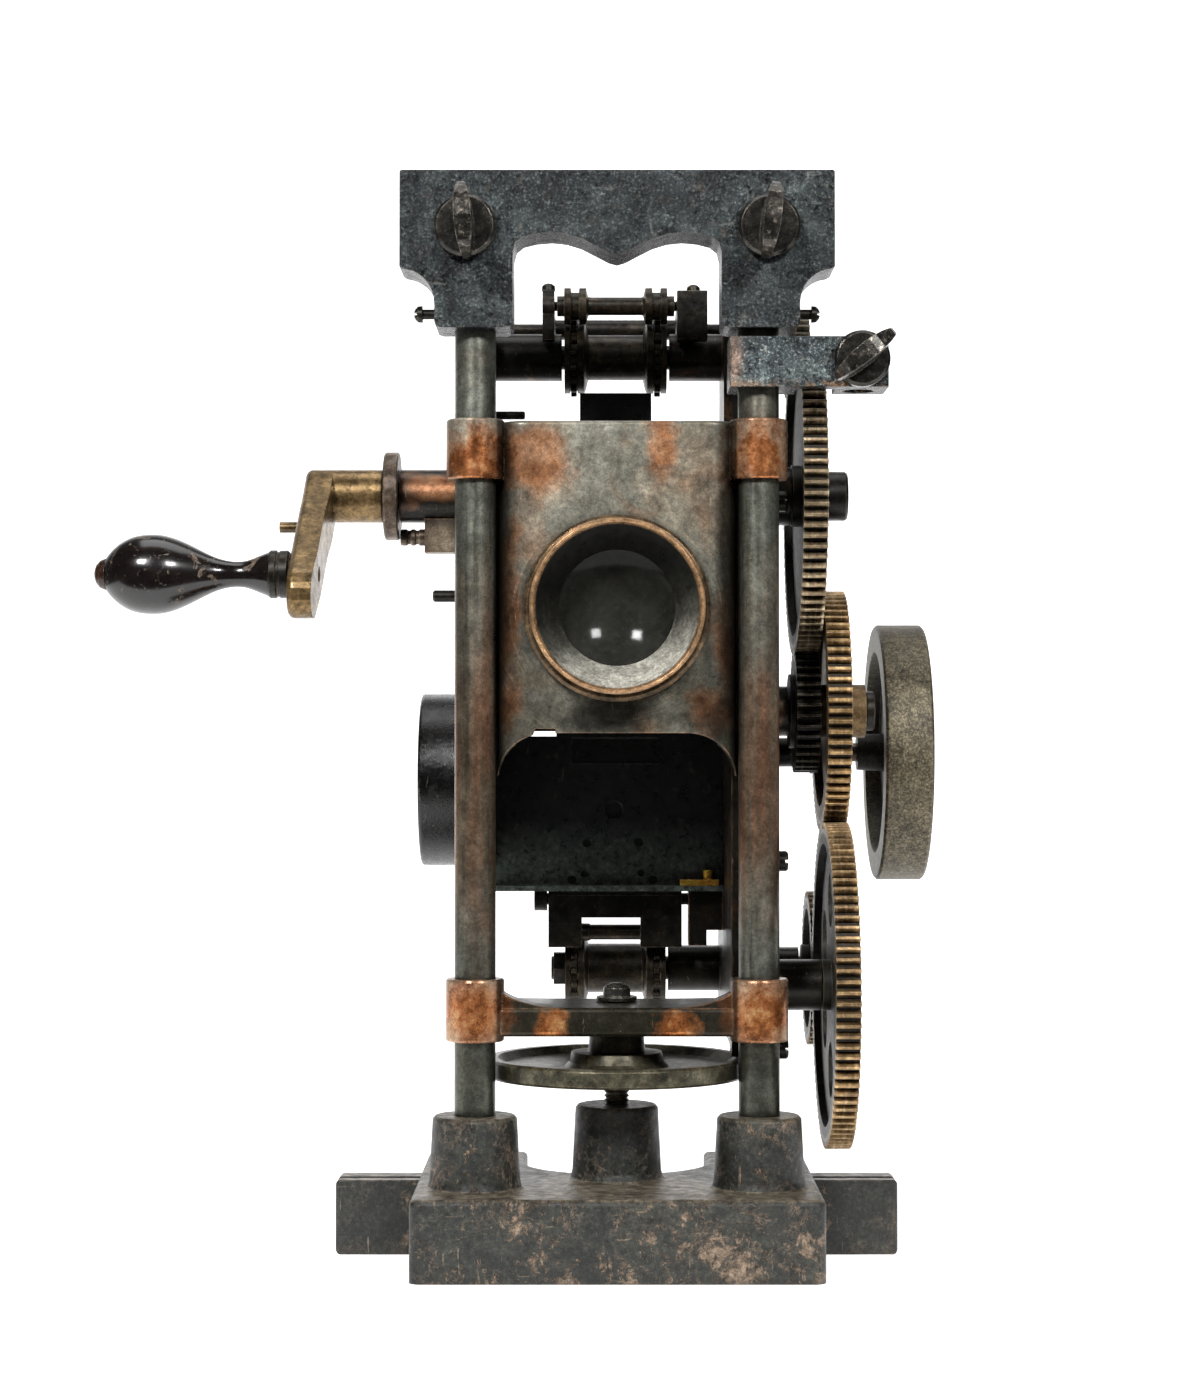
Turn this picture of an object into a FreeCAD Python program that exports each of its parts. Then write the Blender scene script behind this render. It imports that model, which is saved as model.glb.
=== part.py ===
import FreeCAD, Part
import math
import os

# Hand-cranked 35 mm film projector head. Millimetres. X right, Y back, Z up,
# the floor at Z = 0, the two posts in the plane Y = 0.

V = FreeCAD.Vector

# ---- driving dimensions -------------------------------------------------
ROD_X = 43.8          # post centres, either side of the middle
ROD_R = 6.35          # half-inch posts
FIT = 0.05            # radial clearance of a running fit

BASE_X, BASE_Y0, BASE_Y1, BASE_H = 62.5, -28.0, 80.0, 25.0
WING_X, WING_Y0, WING_Y1, WING_H = 89.0, 24.0, 40.0, 23.5
BOSS_TOP = 47.0
SCREW_Y = 20.0        # framing screw axis, X = 0
SCREW_R = 4.0

YOKE_Y0, YOKE_Y1 = -11.0, 10.0
YOKE_TOP, YOKE_LEG = 337.4, 288.9
THUMB_X, THUMB_Z = 46.5, 319.6
SOCKET_R = 4.8

ARM_X0, ARM_X1, ARM_Z0, ARM_Z1 = 34.5, 83.3, 270.8, 286.3
ARM_THUMB_X, ARM_THUMB_Z = 74.8, 279.0

COLLAR_R = 9.0
COL_UP0, COL_UP1 = 243.0, 261.5
COL_LO0, COL_LO1 = 69.9, 89.1
PLATE_Z0, PLATE_Z1 = 164.7, 261.0
BAR_Z0, BAR_Z1 = 71.4, 80.3

LENS_Z = 203.0
FLANGE_R, BARREL_R, GLASS_R = 28.7, 25.4, 17.8
BARREL_FRONT, BARREL_BACK = -22.0, 34.0

WALL_R0, WALL_R1 = 36.0, 42.0      # right side plate
WALL_L0, WALL_L1 = -46.0, -41.5    # left side plate

MODULE = 25.4 / 24.0               # 24 diametral pitch
PA0, PA1 = 57.6, 65.2              # gear plane A
PB0, PB1 = 66.0, 73.6              # gear plane B
CRANK = (46.0, 242.0)
INTER = (46.0, 172.15)
LOWER = (30.0, 84.71)
LSPR = (106.2, 84.4)
USPR = (84.6, 292.4)
DRIVE = (88.4, 158.74)
STAR = (100.2, 145.9)
N_CRANK, N_PIN, N_GOLD, N_LOWER, N_LSPR, N_USPR, N_DRIVE = 96, 36, 72, 96, 48, 24, 12

SPR_R = 16 * 4.75 / (2 * math.pi)  # sixteen perforations round
ROW = 28.17 / 2                    # tooth rows from the film's middle

THROW_Y, THROW_Z = -43.0, -28.0    # crank arm at rest
FW_R, FW_X0, FW_X1 = 43.1, 87.8, 103.5
DRUM = (97.0, 149.4)
DRUM_R = 29.3
WHEEL_R = 41.0


# ---- small helpers ------------------------------------------------------
def box(x0, x1, y0, y1, z0, z1):
    return Part.makeBox(x1 - x0, y1 - y0, z1 - z0, V(x0, y0, z0))


def cylx(x0, x1, r, yz):
    return Part.makeCylinder(r, x1 - x0, V(x0, yz[0], yz[1]), V(1, 0, 0))


def cyly(y0, y1, r, x, z):
    return Part.makeCylinder(r, y1 - y0, V(x, y0, z), V(0, 1, 0))


def cylz(z0, z1, r, x, y):
    return Part.makeCylinder(r, z1 - z0, V(x, y, z0), V(0, 0, 1))


def prism(points, vec):
    pts = [V(*p) for p in points]
    return Part.Face(Part.makePolygon(pts + [pts[0]])).extrude(V(*vec))


def polyx(pts, x0, x1):
    return prism([(x0, p[0], p[1]) for p in pts], (x1 - x0, 0, 0))


def polyy(pts, y0, y1):
    return prism([(p[0], y0, p[1]) for p in pts], (0, y1 - y0, 0))


def polyz(pts, z0, z1):
    return prism([(p[0], p[1], z0) for p in pts], (0, 0, z1 - z0))


def turned(profile, axis, a, b):
    """Revolve (along, radius) points: axis x about (Y,Z), y about (X,Z), z about (X,Y)."""
    if axis == "x":
        pts = [V(t, a + r, b) for t, r in profile]
        o, d = V(0, a, b), V(1, 0, 0)
    elif axis == "y":
        pts = [V(a + r, t, b) for t, r in profile]
        o, d = V(a, 0, b), V(0, 1, 0)
    else:
        pts = [V(a + r, b, t) for t, r in profile]
        o, d = V(a, b, 0), V(0, 0, 1)
    return Part.Face(Part.makePolygon(pts + [pts[0]])).revolve(o, d, 360)


def fuse(*shapes):
    out = shapes[0].multiFuse(list(shapes[1:])) if len(shapes) > 1 else shapes[0]
    return out.removeSplitter()


def cut(shape, *tools):
    out = shape
    for t in tools:
        out = out.cut(t)
    return out


def rounded(shape, radius, pick):
    edges = [e for e in shape.Edges if pick(e)]
    try:
        out = shape.makeFillet(radius, edges)
        return out if out.isValid() and out.Volume > 0 else shape
    except Exception:
        return shape


def mid(e):
    return e.valueAt((e.FirstParameter + e.LastParameter) / 2)


def along(e, axis):
    if len(e.Vertexes) != 2:
        return False
    d = e.Vertexes[1].Point - e.Vertexes[0].Point
    if d.Length < 1e-6:
        return False
    d.normalize()
    return abs((d.x, d.y, d.z)["xyz".index(axis)]) > 0.999


def arc(cx, cy, r, a0, a1, n):
    return [(cx + r * math.cos(math.radians(a0 + (a1 - a0) * i / n)),
             cy + r * math.sin(math.radians(a0 + (a1 - a0) * i / n))) for i in range(n + 1)]


# ---- gears --------------------------------------------------------------
PRESS = math.radians(20.0)


def gear_outline(n, centre, phase, add=0.9, ded=1.2, thin=0.07, steps=5):
    """Involute outline in (Y, Z); phase is the angle of one tooth's centre."""
    r = MODULE * n / 2
    rb = r * math.cos(PRESS)
    ra = r + add * MODULE
    rf = r - ded * MODULE
    inv = math.tan(PRESS) - PRESS
    half = math.pi / (2 * n) - thin / r
    start = max(rb, rf + 0.02)
    flank = []
    for i in range(steps + 1):
        rr = start + (ra - start) * i / steps
        a = math.acos(min(1.0, rb / rr))
        flank.append((rr, half + inv - (math.tan(a) - a)))
    root = half + inv - ((lambda q: math.tan(q) - q)(math.acos(min(1.0, rb / start))))
    pts = []
    for k in range(n):
        c = phase + 2 * math.pi * k / n
        side = [(rf, -root)] + [(q, -w) for q, w in flank] + [(q, w) for q, w in reversed(flank)] + [(rf, root)]
        for q, w in side:
            pts.append((centre[0] + q * math.cos(c + w), centre[1] + q * math.sin(c + w)))
    return pts


def meshed(n1, c1, phase1, n2, c2):
    """Phase of gear 2 so that its gap meets the tooth of gear 1."""
    a = math.atan2(c2[1] - c1[1], c2[0] - c1[0])
    b = a + math.pi
    return b + (2 * math.pi / n2) * (0.5 - (phase1 - a) * n1 / (2 * math.pi))


PH_CRANK = 0.0
PH_PIN = meshed(N_CRANK, CRANK, PH_CRANK, N_PIN, INTER)
PH_USPR = meshed(N_CRANK, CRANK, PH_CRANK, N_USPR, USPR)
PH_GOLD = 0.01
PH_LOWER = meshed(N_GOLD, INTER, PH_GOLD, N_LOWER, LOWER)
PH_LSPR = meshed(N_LOWER, LOWER, PH_LOWER, N_LSPR, LSPR)
PH_DRIVE = meshed(N_GOLD, INTER, PH_GOLD, N_DRIVE, DRIVE)


def gear(n, centre, phase, x0, x1, bore, add=0.9, rim=None, web=None, hub=None, holes=0, hole_r=0, hole_at=0):
    blank = polyx(gear_outline(n, centre, phase, add), x0, x1)
    if rim:
        wx0, wx1 = web
        if wx0 > x0:
            blank = blank.cut(cylx(x0 - 1, wx0, rim, centre))
        if wx1 < x1:
            blank = blank.cut(cylx(wx1, x1 + 1, rim, centre))
        hx0, hx1, hr = hub
        blank = blank.fuse(cylx(hx0, hx1, hr, centre))
        for k in range(holes):
            a = 2 * math.pi * (k + 0.5) / holes
            p = (centre[0] + hole_at * math.cos(a), centre[1] + hole_at * math.sin(a))
            blank = blank.cut(cylx(x0 - 1, x1 + 1, hole_r, p))
    elif hub:
        hx0, hx1, hr = hub
        blank = blank.fuse(cylx(hx0, hx1, hr, centre))
    lo = min(x0, hub[0]) if hub else x0
    hi = max(x1, hub[1]) if hub else x1
    return blank.cut(cylx(lo - 1, hi + 1, bore, centre))


def sprocket(centre, bore, x0, x1, hub_r):
    """Film sprocket: two rims joined by a waist, sixteen teeth a rim."""
    right = [(9.2, hub_r), (10.0, SPR_R - 1.2), (10.6, SPR_R), (12.8, SPR_R), (12.9, SPR_R - 0.9), (15.25, SPR_R - 0.9), (15.35, SPR_R),
             (x1, SPR_R), (x1, 0)]
    prof = [(-t, r) for t, r in reversed(right)] + right
    body = turned(prof, "x", centre[0], centre[1])
    for row in (-ROW, ROW):
        pts = []
        for k in range(16):
            c = 2 * math.pi * k / 16
            for rr, w in ((SPR_R - 1.15, -1.05), (SPR_R + 0.2, -1.0), (SPR_R + 1.1, -0.45),
                          (SPR_R + 1.1, 0.45), (SPR_R + 0.2, 1.0), (SPR_R - 1.15, 1.05)):
                t = w / rr
                pts.append((centre[0] + rr * math.cos(c + t), centre[1] + rr * math.sin(c + t)))
        body = body.fuse(polyx(pts, row - 0.95, row + 0.95))
    return body.cut(cylx(x0 - 1, x1 + 1, bore, centre))


nodes = {}

# ---- stand --------------------------------------------------------------
block = box(-BASE_X, BASE_X, BASE_Y0, BASE_Y1, 0, BASE_H)
block = rounded(block, 3.5, lambda e: along(e, "z"))
notch = fuse(cylz(-1, BASE_H + 1, 29.5, 0, 57.4), box(-29.5, 29.5, 57.4, BASE_Y1 + 5, -1, BASE_H + 1))
block = block.cut(notch)
block = rounded(block, 2.0, lambda e: abs(mid(e).z - BASE_H) < 1e-6)
wings = []
for s in (-1, 1):
    x0, x1 = sorted((s * 58.0, s * WING_X))
    w = box(x0, x1, WING_Y0, WING_Y1, 0, WING_H)
    w = rounded(w, 1.8, lambda e: abs(abs(mid(e).x) - WING_X) < 1e-6)
    groove = box(x0 - 1, x1 + 1, WING_Y0 + 4.5, WING_Y0 + 8.0, WING_H - 2.6, WING_H + 1)
    wings.append(w.cut(groove))
base = fuse(block, *wings)
for x, y, top, z0 in ((-ROD_X, 0, BOSS_TOP, 10), (ROD_X, 0, BOSS_TOP, 10), (0, SCREW_Y, BOSS_TOP + 1, 0)):
    base = base.fuse(turned([(z0, 0), (z0, 14.2), (BASE_H - 0.4, 14.2), (BASE_H, 15.2), (BASE_H + 0.5, 14.5),
                             (BASE_H + 2.5, 14.0), (top - 0.9, 13.0), (top, 12.2), (top, 0)], "z", x, y))
base = base.removeSplitter()
for x in (-ROD_X, ROD_X):
    base = base.cut(cylz(10, 60, ROD_R, x, 0))
base = base.cut(cylz(5, 60, SCREW_R + FIT, 0, SCREW_Y))
nodes["base_casting"] = base

ROD_TOP = 306.0
for name, x in (("left_post", -ROD_X), ("right_post", ROD_X)):
    rod = cylz(10, ROD_TOP, ROD_R, x, 0)
    nodes[name] = rounded(rod, 0.6, lambda e: abs(mid(e).z - ROD_TOP) < 1e-6)

half = [(0.0, 311.2), (2.5, 311.9), (6.5, 314.0), (11.0, 316.3), (15.5, 317.7), (20.2, 318.2), (25.0, 317.8),
        (29.0, 316.8), (31.2, 315.0), (32.0, 312.0), (32.0, YOKE_LEG + 1.5), (33.0, YOKE_LEG + 0.4), (34.5, YOKE_LEG),
        (54.0, YOKE_LEG), (55.6, YOKE_LEG + 0.5), (56.0, YOKE_LEG + 1.8), (56.0, 296.0)]
half += arc(66.4, 296.6, 10.3, 180, 95, 9)[1:]
half += [(66.7, 307.6), (66.7, YOKE_TOP - 0.6), (66.1, YOKE_TOP)]
outline = [(-x, z) for x, z in reversed(half[1:])] + half
yoke = polyy(outline, YOKE_Y0, YOKE_Y1)
yoke = rounded(yoke, 0.8, lambda e: abs(mid(e).z - YOKE_TOP) < 1e-6 and along(e, "x"))
for x in (-1, 1):
    yoke = yoke.cut(cylz(280, ROD_TOP, ROD_R, x * ROD_X, 0))
    yoke = yoke.cut(cylz(309.5, 340, SOCKET_R, x * THUMB_X, 0))
    yoke = yoke.cut(cyly(YOKE_Y0 - 1, 0, 3.1 + FIT, x * THUMB_X, THUMB_Z))
    a = sorted((x * 48.0, x * 58.0))
    yoke = yoke.cut(cylx(a[0], a[1], 1.6, (0, 294.4)))
nodes["yoke"] = yoke


def thumbscrew(x, z, face, tip, disc_r, tall, tilt):
    """Spade-headed screw along Y; face is the surface it stands on."""
    f = face - 0.35
    shank = turned([(f - 4.2, 0), (f - 4.2, disc_r - 0.9), (f - 3.3, disc_r), (f - 0.6, disc_r), (f, disc_r - 0.6),
                    (f, 3.1), (tip - 0.8, 3.1), (tip, 2.2), (tip, 0)], "y", x, z)
    oval = []
    for k in range(28):
        a = 2 * math.pi * k / 28
        oval.append((f - 4.2 - 7.6 + 9.6 * math.cos(a), z + tall * math.sin(a)))
    spade = polyx([(p[0], p[1]) for p in oval], x - 4, x + 4)
    lens = []
    for k in range(24):
        t = -1 + 2 * k / 24.0
        lens.append((x + 0.5 + 2.2 * (1 - t * t) ** 0.7, z + t * (tall + 0.6)))
    for k in range(24):
        t = 1 - 2 * k / 24.0
        lens.append((x - 0.5 - 2.2 * (1 - t * t) ** 0.7, z + t * (tall + 0.6)))
    spade = spade.common(polyy(lens, f - 30, f - 3.0))
    spade = rounded(spade, 0.9, lambda e: abs(mid(e).x - x) > 0.2)
    spade.rotate(V(x, 0, z), V(0, 1, 0), tilt)
    return fuse(shank, spade)


nodes["yoke_thumbscrew_left"] = thumbscrew(-THUMB_X, THUMB_Z, YOKE_Y0, -5.2, 9.5, 11.6, -4)
nodes["yoke_thumbscrew_right"] = thumbscrew(THUMB_X, THUMB_Z, YOKE_Y0, -5.2, 9.5, 11.6, 7)

arm = box(ARM_X0, ARM_X1, -10, 10, ARM_Z0, ARM_Z1)
arm = rounded(arm, 1.0, lambda e: along(e, "z"))
arm = arm.cut(box(55.5, 67.3, -3.0, 12, ARM_Z0 - 1, ARM_Z1 + 1))
arm = arm.cut(cylz(ARM_Z0 - 1, ARM_Z1 + 1, ROD_R, ROD_X, 0))
arm = arm.cut(cylz(ARM_Z0 - 1, ARM_Z1 + 1, SOCKET_R, ARM_THUMB_X, 2.0))
arm = arm.cut(cyly(-11, 2, 3.1 + FIT, ARM_THUMB_X, ARM_THUMB_Z))
arm = arm.cut(cyly(4, 12, 1.6, ROD_X, 278.5))
nodes["side_arm"] = arm
nodes["arm_thumbscrew"] = thumbscrew(ARM_THUMB_X, ARM_THUMB_Z, -10, -3.2, 8.6, 11.4, 52)


def set_screw(tip, head, d, at):
    """Round-headed set screw along X (d 'x') or Y; tip and head are positions along it."""
    s = 1 if head > tip else -1
    prof = [(tip, 0), (tip, 1.55), (head - s * 2.6, 1.55), (head - s * 2.6, 2.6), (head - s * 1.2, 2.5),
            (head - s * 0.4, 1.7), (head, 0.9), (head, 0)]
    body = turned(prof, d, at[0], at[1])
    slot = 0.45
    if d == "x":
        a, b = sorted((head - s * 0.9, head + s))
        return body.cut(box(a, b, at[0] - 4, at[0] + 4, at[1] - slot, at[1] + slot))
    a, b = sorted((head - s * 0.9, head + s))
    return body.cut(box(at[0] - 4, at[0] + 4, a, b, at[1] - slot, at[1] + slot))


nodes["set_screws"] = Part.makeCompound([
    set_screw(-ROD_X - ROD_R, -62.8, "x", (0, 294.4)),
    set_screw(ROD_X + ROD_R, 62.8, "x", (0, 294.4)),
    set_screw(ROD_R, 16.0, "y", (ROD_X, 278.5)),
])

# ---- carriage -----------------------------------------------------------
plate = box(-37.0, 37.0, -5.0, 14.2, PLATE_Z0 - 17.0, PLATE_Z1)
plate = rounded(plate, 9.0, lambda e: along(e, "z") and mid(e).y < 0)
plate = plate.cut(box(-31.5, 31.5, 1.0, 20, PLATE_Z0 - 20, PLATE_Z1 - 4))
# the window's round-cornered top, with a small gap in its edge
arch = ([(-38.0, PLATE_Z0 - 20), (38.0, PLATE_Z0 - 20), (38.0, PLATE_Z0 - 15.6)] + arc(21.6, PLATE_Z0 - 15.6, 15.6, 0, 90, 14)
        + arc(-21.6, PLATE_Z0 - 15.6, 15.6, 90, 180, 14) + [(-38.0, PLATE_Z0 - 15.6)])
plate = plate.cut(polyy(arch, -12, 20))
plate = plate.cut(polyy([(-26.6, PLATE_Z0 - 2), (-19.0, PLATE_Z0 - 2), (-19.0, PLATE_Z0 + 1.3), (-25.2, PLATE_Z0 + 1.3)], -12, 8))
plate = rounded(plate, 1.2, lambda e: abs(mid(e).z - PLATE_Z1) < 1e-6 and mid(e).y < -4.9)
legs = []
for s in (-1, 1):
    out = WALL_R1 if s > 0 else WALL_L0
    for inner, z0, z1 in ((36.0, PLATE_Z0 + 1, PLATE_Z1 - 2), (38.4, BAR_Z0, PLATE_Z0 + 4), (36.0, BAR_Z0, BAR_Z1)):
        x0, x1 = sorted((s * inner, out))
        legs.append(box(x0, x1, 7.2, 14.2, z0, z1))
bar = polyz([(-36.9, -4.0), (36.9, -4.0), (36.9, 14.2), (36.0, 14.2), (36.0, 30.0), (30, 33), (22, 31), (12, 30.2), (-12, 30.2), (-22, 31), (-30, 33),
             (-36.9, 30.0)], BAR_Z0, BAR_Z1)
bar = rounded(bar, 1.5, lambda e: mid(e).y < -3.9 and along(e, "x"))
ends = []
for s in (-1, 1):
    sweep = [(s * (12.0 + 25.0 * math.cos(math.radians(9 * k))), BAR_Z1 - 0.4 + 8.0 - 8.0 * math.sin(math.radians(9 * k))) for k in range(11)]
    ends.append(polyy([(s * 37.0, BAR_Z0 + 0.6)] + sweep + [(s * 12.0, BAR_Z0 + 0.6)], -3.4, 6.0))
collars = []
for x in (-ROD_X, ROD_X):
    for z0, z1 in ((COL_UP0, COL_UP1), (COL_LO0, COL_LO1)):
        collars.append(turned([(z0, 0), (z0, COLLAR_R - 0.4), (z0 + 0.5, COLLAR_R), (z1 - 0.5, COLLAR_R), (z1, COLLAR_R - 0.4), (z1, 0)], "z", x, 0))
casting = fuse(plate, *legs, bar, *ends, *collars)
for x in (-ROD_X, ROD_X):
    casting = casting.cut(cylz(COL_LO0 - 2, COL_UP1 + 2, ROD_R + FIT, x, 0))
    # a relief round each post between its collars
    ring = cylz(COL_LO1, COL_UP0, ROD_R + 0.6, x, 0)
    casting = casting.cut(ring)
casting = casting.cut(cyly(-20, 40, FLANGE_R - 1.6, 0, LENS_Z))
casting = casting.cut(cylz(BAR_Z0 - 2, BAR_Z1 + 2, 3.2 + FIT, 0, SCREW_Y))
solids = sorted(casting.Solids, key=lambda q: -q.Volume)
nodes["lens_plate_casting"] = solids[0]

right_pts = [(14.2, 63.4), (26.0, 63.4), (32.0, 66.0), (112.0, 66.0), (119.0, 70.0), (121.0, 84.0), (119.0, 98.0), (108.0, 112.0), (108.0, 128.0),
             (113.0, 132.0), (113.0, 240.0), (106.0, 252.0), (106.0, 304.0), (102.0, 309.5), (76.0, 309.5),
             (68.0, 299.0), (68.0, 268.0), (58.0, 259.0), (14.2, 259.0)]
wall = polyx(right_pts, WALL_R0, WALL_R1)
wall = rounded(wall, 3.0, lambda e: along(e, "x") and mid(e).z > 290)
wall = fuse(wall, cylx(WALL_R1, 54.5, 9.6, DRIVE), cylx(WALL_R1, 56.5, 9.5, CRANK),
            cylx(18.2, WALL_R0, 7.8, LSPR), cylx(WALL_R1, 63.0, 7.2, LSPR),
            cylx(18.2, WALL_R0, 7.9, USPR), cylx(WALL_R1, 55.5, 7.9, USPR), cylx(18.2, WALL_R0, 6.5, STAR),
            cylx(WALL_R1, 55.5, 8.1, INTER), cylx(WALL_R1, 65.0, 8.1, LOWER))
for c, r in ((DRIVE, 3.175), (CRANK, 4.5), (LSPR, 4.0), (USPR, 4.0), (STAR, 3.175)):
    wall = wall.cut(cylx(15, 70, r + FIT, c))
wall = cut(wall, cylx(15, 70, 4.0, INTER), cylx(15, 70, 4.0, LOWER))
PIV_U, PIV_L = (99.5, 304.0), (90.0, 109.0)
wall = fuse(wall, box(24.5, 30.6, 80.0, 92.0, 93.8, 112.2), box(30.3, WALL_R0 + 0.5, 80.0, 92.0, 99.0, 112.2))
wall = cut(wall, cylx(30, 50, 2.0, PIV_U), cylx(20, 50, 2.0, PIV_L))
nodes["right_wall"] = wall

left_pts = [(14.2, 128.0), (66.0, 122.0), (92.0, 118.0), (113.0, 122.0), (113.0, 240.0), (106.0, 252.0), (106.0, 304.0),
            (102.0, 309.5), (76.0, 309.5), (68.0, 299.0), (68.0, 268.0), (58.0, 259.0), (14.2, 259.0)]
wall = polyx(left_pts, WALL_L0, WALL_L1)
wall = rounded(wall, 3.0, lambda e: along(e, "x") and mid(e).z > 290)
wall = fuse(wall, cylx(-70.0, WALL_L0, 8.6, CRANK), cylx(WALL_L1, -18.2, 7.9, USPR), cylx(WALL_L1, -18.2, 6.5, STAR),
            cylx(WALL_L0 - 3.0, WALL_L0, 7.9, USPR))
for c, r in ((DRIVE, 3.175), (CRANK, 4.5), (USPR, 4.0), (STAR, 3.175)):
    wall = wall.cut(cylx(-80, -10, r + FIT, c))
wall = wall.cut(cylx(-60, -30, 2.0, PIV_U))
wall = wall.fuse(box(-62.0, WALL_L0, 41.0, 51.0, 223.4, 234.4))
wall = wall.cut(cylx(-63, -50, 2.7 + FIT, (46.0, 228.6)))
wall = wall.cut(cylx(-80, -10, 4.5 + FIT, CRANK))
nodes["left_wall"] = wall


def fillister(x_in, x_out, yz, r=3.2):
    """Cheese-headed screw along X; x_in is the tip, x_out the head's top."""
    s = 1 if x_out > x_in else -1
    body = turned([(x_in, 0), (x_in, 1.6), (x_out - s * 3.0, 1.6), (x_out - s * 3.0, r), (x_out - s * 0.6, r),
                   (x_out, r - 0.6), (x_out, 0)], "x", yz[0], yz[1])
    a, b = sorted((x_out - s * 1.0, x_out + s))
    return body.cut(box(a, b, yz[0] - 5, yz[0] + 5, yz[1] - 0.5, yz[1] + 0.5))


STOP, KEEPER = (40.0, 209.2), (80.0, 272.3)
left_pins = [turned([(-59.2, 0), (-59.2, 1.4), (-58.7, 1.9), (-43.5, 1.9), (-43.5, 0)], "x", *STOP),
             turned([(-44.0, 0), (-44.0, 1.4), (-30.9, 1.4), (-30.5, 1.0), (-30.5, 0)], "x", *KEEPER)]
nodes["left_wall"] = cut(nodes["left_wall"], cylx(-60, -43.5, 1.9, STOP), cylx(-44.0, -30, 1.4, KEEPER))
nodes["wall_studs"] = Part.makeCompound([fillister(WALL_R1 - 4.0, 54.0, (19.0, z)) for z in (65.5, 124.5, 238.0)] + left_pins)
nodes["right_wall"] = cut(nodes["right_wall"], *[cylx(WALL_R1 - 4.0, WALL_R1 + 1, 1.6, (19.0, z)) for z in (65.5, 124.5, 238.0)])

# lens: a fixed jacket in the plate, a barrel that slides in it
jacket = turned([(-9.5, BARREL_R + FIT), (-9.5, FLANGE_R - 1.0), (-8.6, FLANGE_R), (-5.0, FLANGE_R), (-5.0, FLANGE_R - 1.6),
                 (22.0, FLANGE_R - 1.6), (22.0, BARREL_R + FIT)], "y", 0, LENS_Z)
nodes["lens_jacket"] = jacket
barrel = turned([(BARREL_FRONT + 0.4, BARREL_R - 0.4), (BARREL_FRONT - 0.3, BARREL_R), (BARREL_FRONT - 0.6, BARREL_R + 0.5), (BARREL_FRONT - 0.3, BARREL_R + 1.0),
                 (BARREL_FRONT + 0.4, BARREL_R + 1.3), (BARREL_FRONT + 1.6, BARREL_R + 1.3), (BARREL_FRONT + 2.2, BARREL_R + 0.4),
                 (BARREL_FRONT + 2.8, BARREL_R + 0.9), (BARREL_FRONT + 3.9, BARREL_R + 0.9), (BARREL_FRONT + 4.4, BARREL_R), (BARREL_BACK, BARREL_R),
                 (BARREL_BACK, 20.0), (-2.0, 20.0), (-2.0, GLASS_R + 0.6), (-5.4, GLASS_R + 0.6), (-5.4, GLASS_R + 2.0),
                 (-9.0, GLASS_R), (-9.6, GLASS_R)], "y", 0, LENS_Z)
nodes["lens_barrel"] = barrel


def element(r, y0, y1, bow0, bow1):
    """Lens element between y0 and y1 at its edge, bowed out at the middle by bow0 and bow1."""
    pts = []
    for k in range(21):
        rr = r * k / 20.0
        pts.append((y0 - bow0 * (1 - (rr / r) ** 2), rr))
    for k in range(20, -1, -1):
        rr = r * k / 20.0
        pts.append((y1 + bow1 * (1 - (rr / r) ** 2), rr))
    return turned(pts, "y", 0, LENS_Z)


nodes["front_glass"] = element(GLASS_R + 0.6, -5.4, -2.0, -6.0, 5.6)
nodes["rear_glass"] = element(20.0, 24.0, 27.5, 1.4, 1.8)
nodes["rear_lens_ring"] = turned([(27.5, 18.2), (27.5, 20.0), (31.5, 20.0), (31.5, 18.2)], "y", 0, LENS_Z).cut(nodes["rear_glass"])

# film gate
GP0, GP1 = 77.0, 79.5
gp = box(WALL_L1, WALL_R0, GP0, GP1, 112.4, 252.0)
gp = gp.fuse(box(-12.0, 12.0, GP0, GP1, 250.0, 279.5))
gp = gp.fuse(box(WALL_L1, WALL_R0, GP0 - 4.5, GP0, 112.4, 114.2)).removeSplitter()
gp = gp.cut(box(-16.0, 16.0, GP0 - 1, GP1 + 1, LENS_Z - 13, LENS_Z + 13))
gp = gp.cut(box(-14.6, 14.2, GP0 - 1, GP0 + 1.2, 154.9, 163.5))
gp = gp.cut(box(-28.4, -19.9, GP0 - 1, GP1 + 1, 164.1, 168.0))
for px, py, r in ((587, 843, 1.5), (639, 842, 1.5), (584, 874, 1.2), (641, 873, 1.2), (572, 880, 1.5), (653, 880, 1.5), (614, 810, 3.0)):
    sc = (896.0 + GP0) / 2900.0
    gp = gp.cut(cyly(GP0 - 1, GP0 + 1.7, r, -5.25 + (px - 600) * sc, 159.5 + (750 - py) * sc))
nodes["gate_shield"] = gp

FILM_Y = 112.3
ap = box(WALL_L1, WALL_R0, 108.0, 110.6, 166.0, 240.0)
for x0, x1 in ((-17.4, -13.0), (13.0, 17.4)):
    ap = ap.fuse(box(x0, x1, 110.6, FILM_Y - 0.5, 168.0, 238.0))
ap = ap.removeSplitter().cut(box(-12.1, 12.1, 100, 120, LENS_Z - 9.1, LENS_Z + 9.1))
nodes["aperture_plate"] = ap

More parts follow.
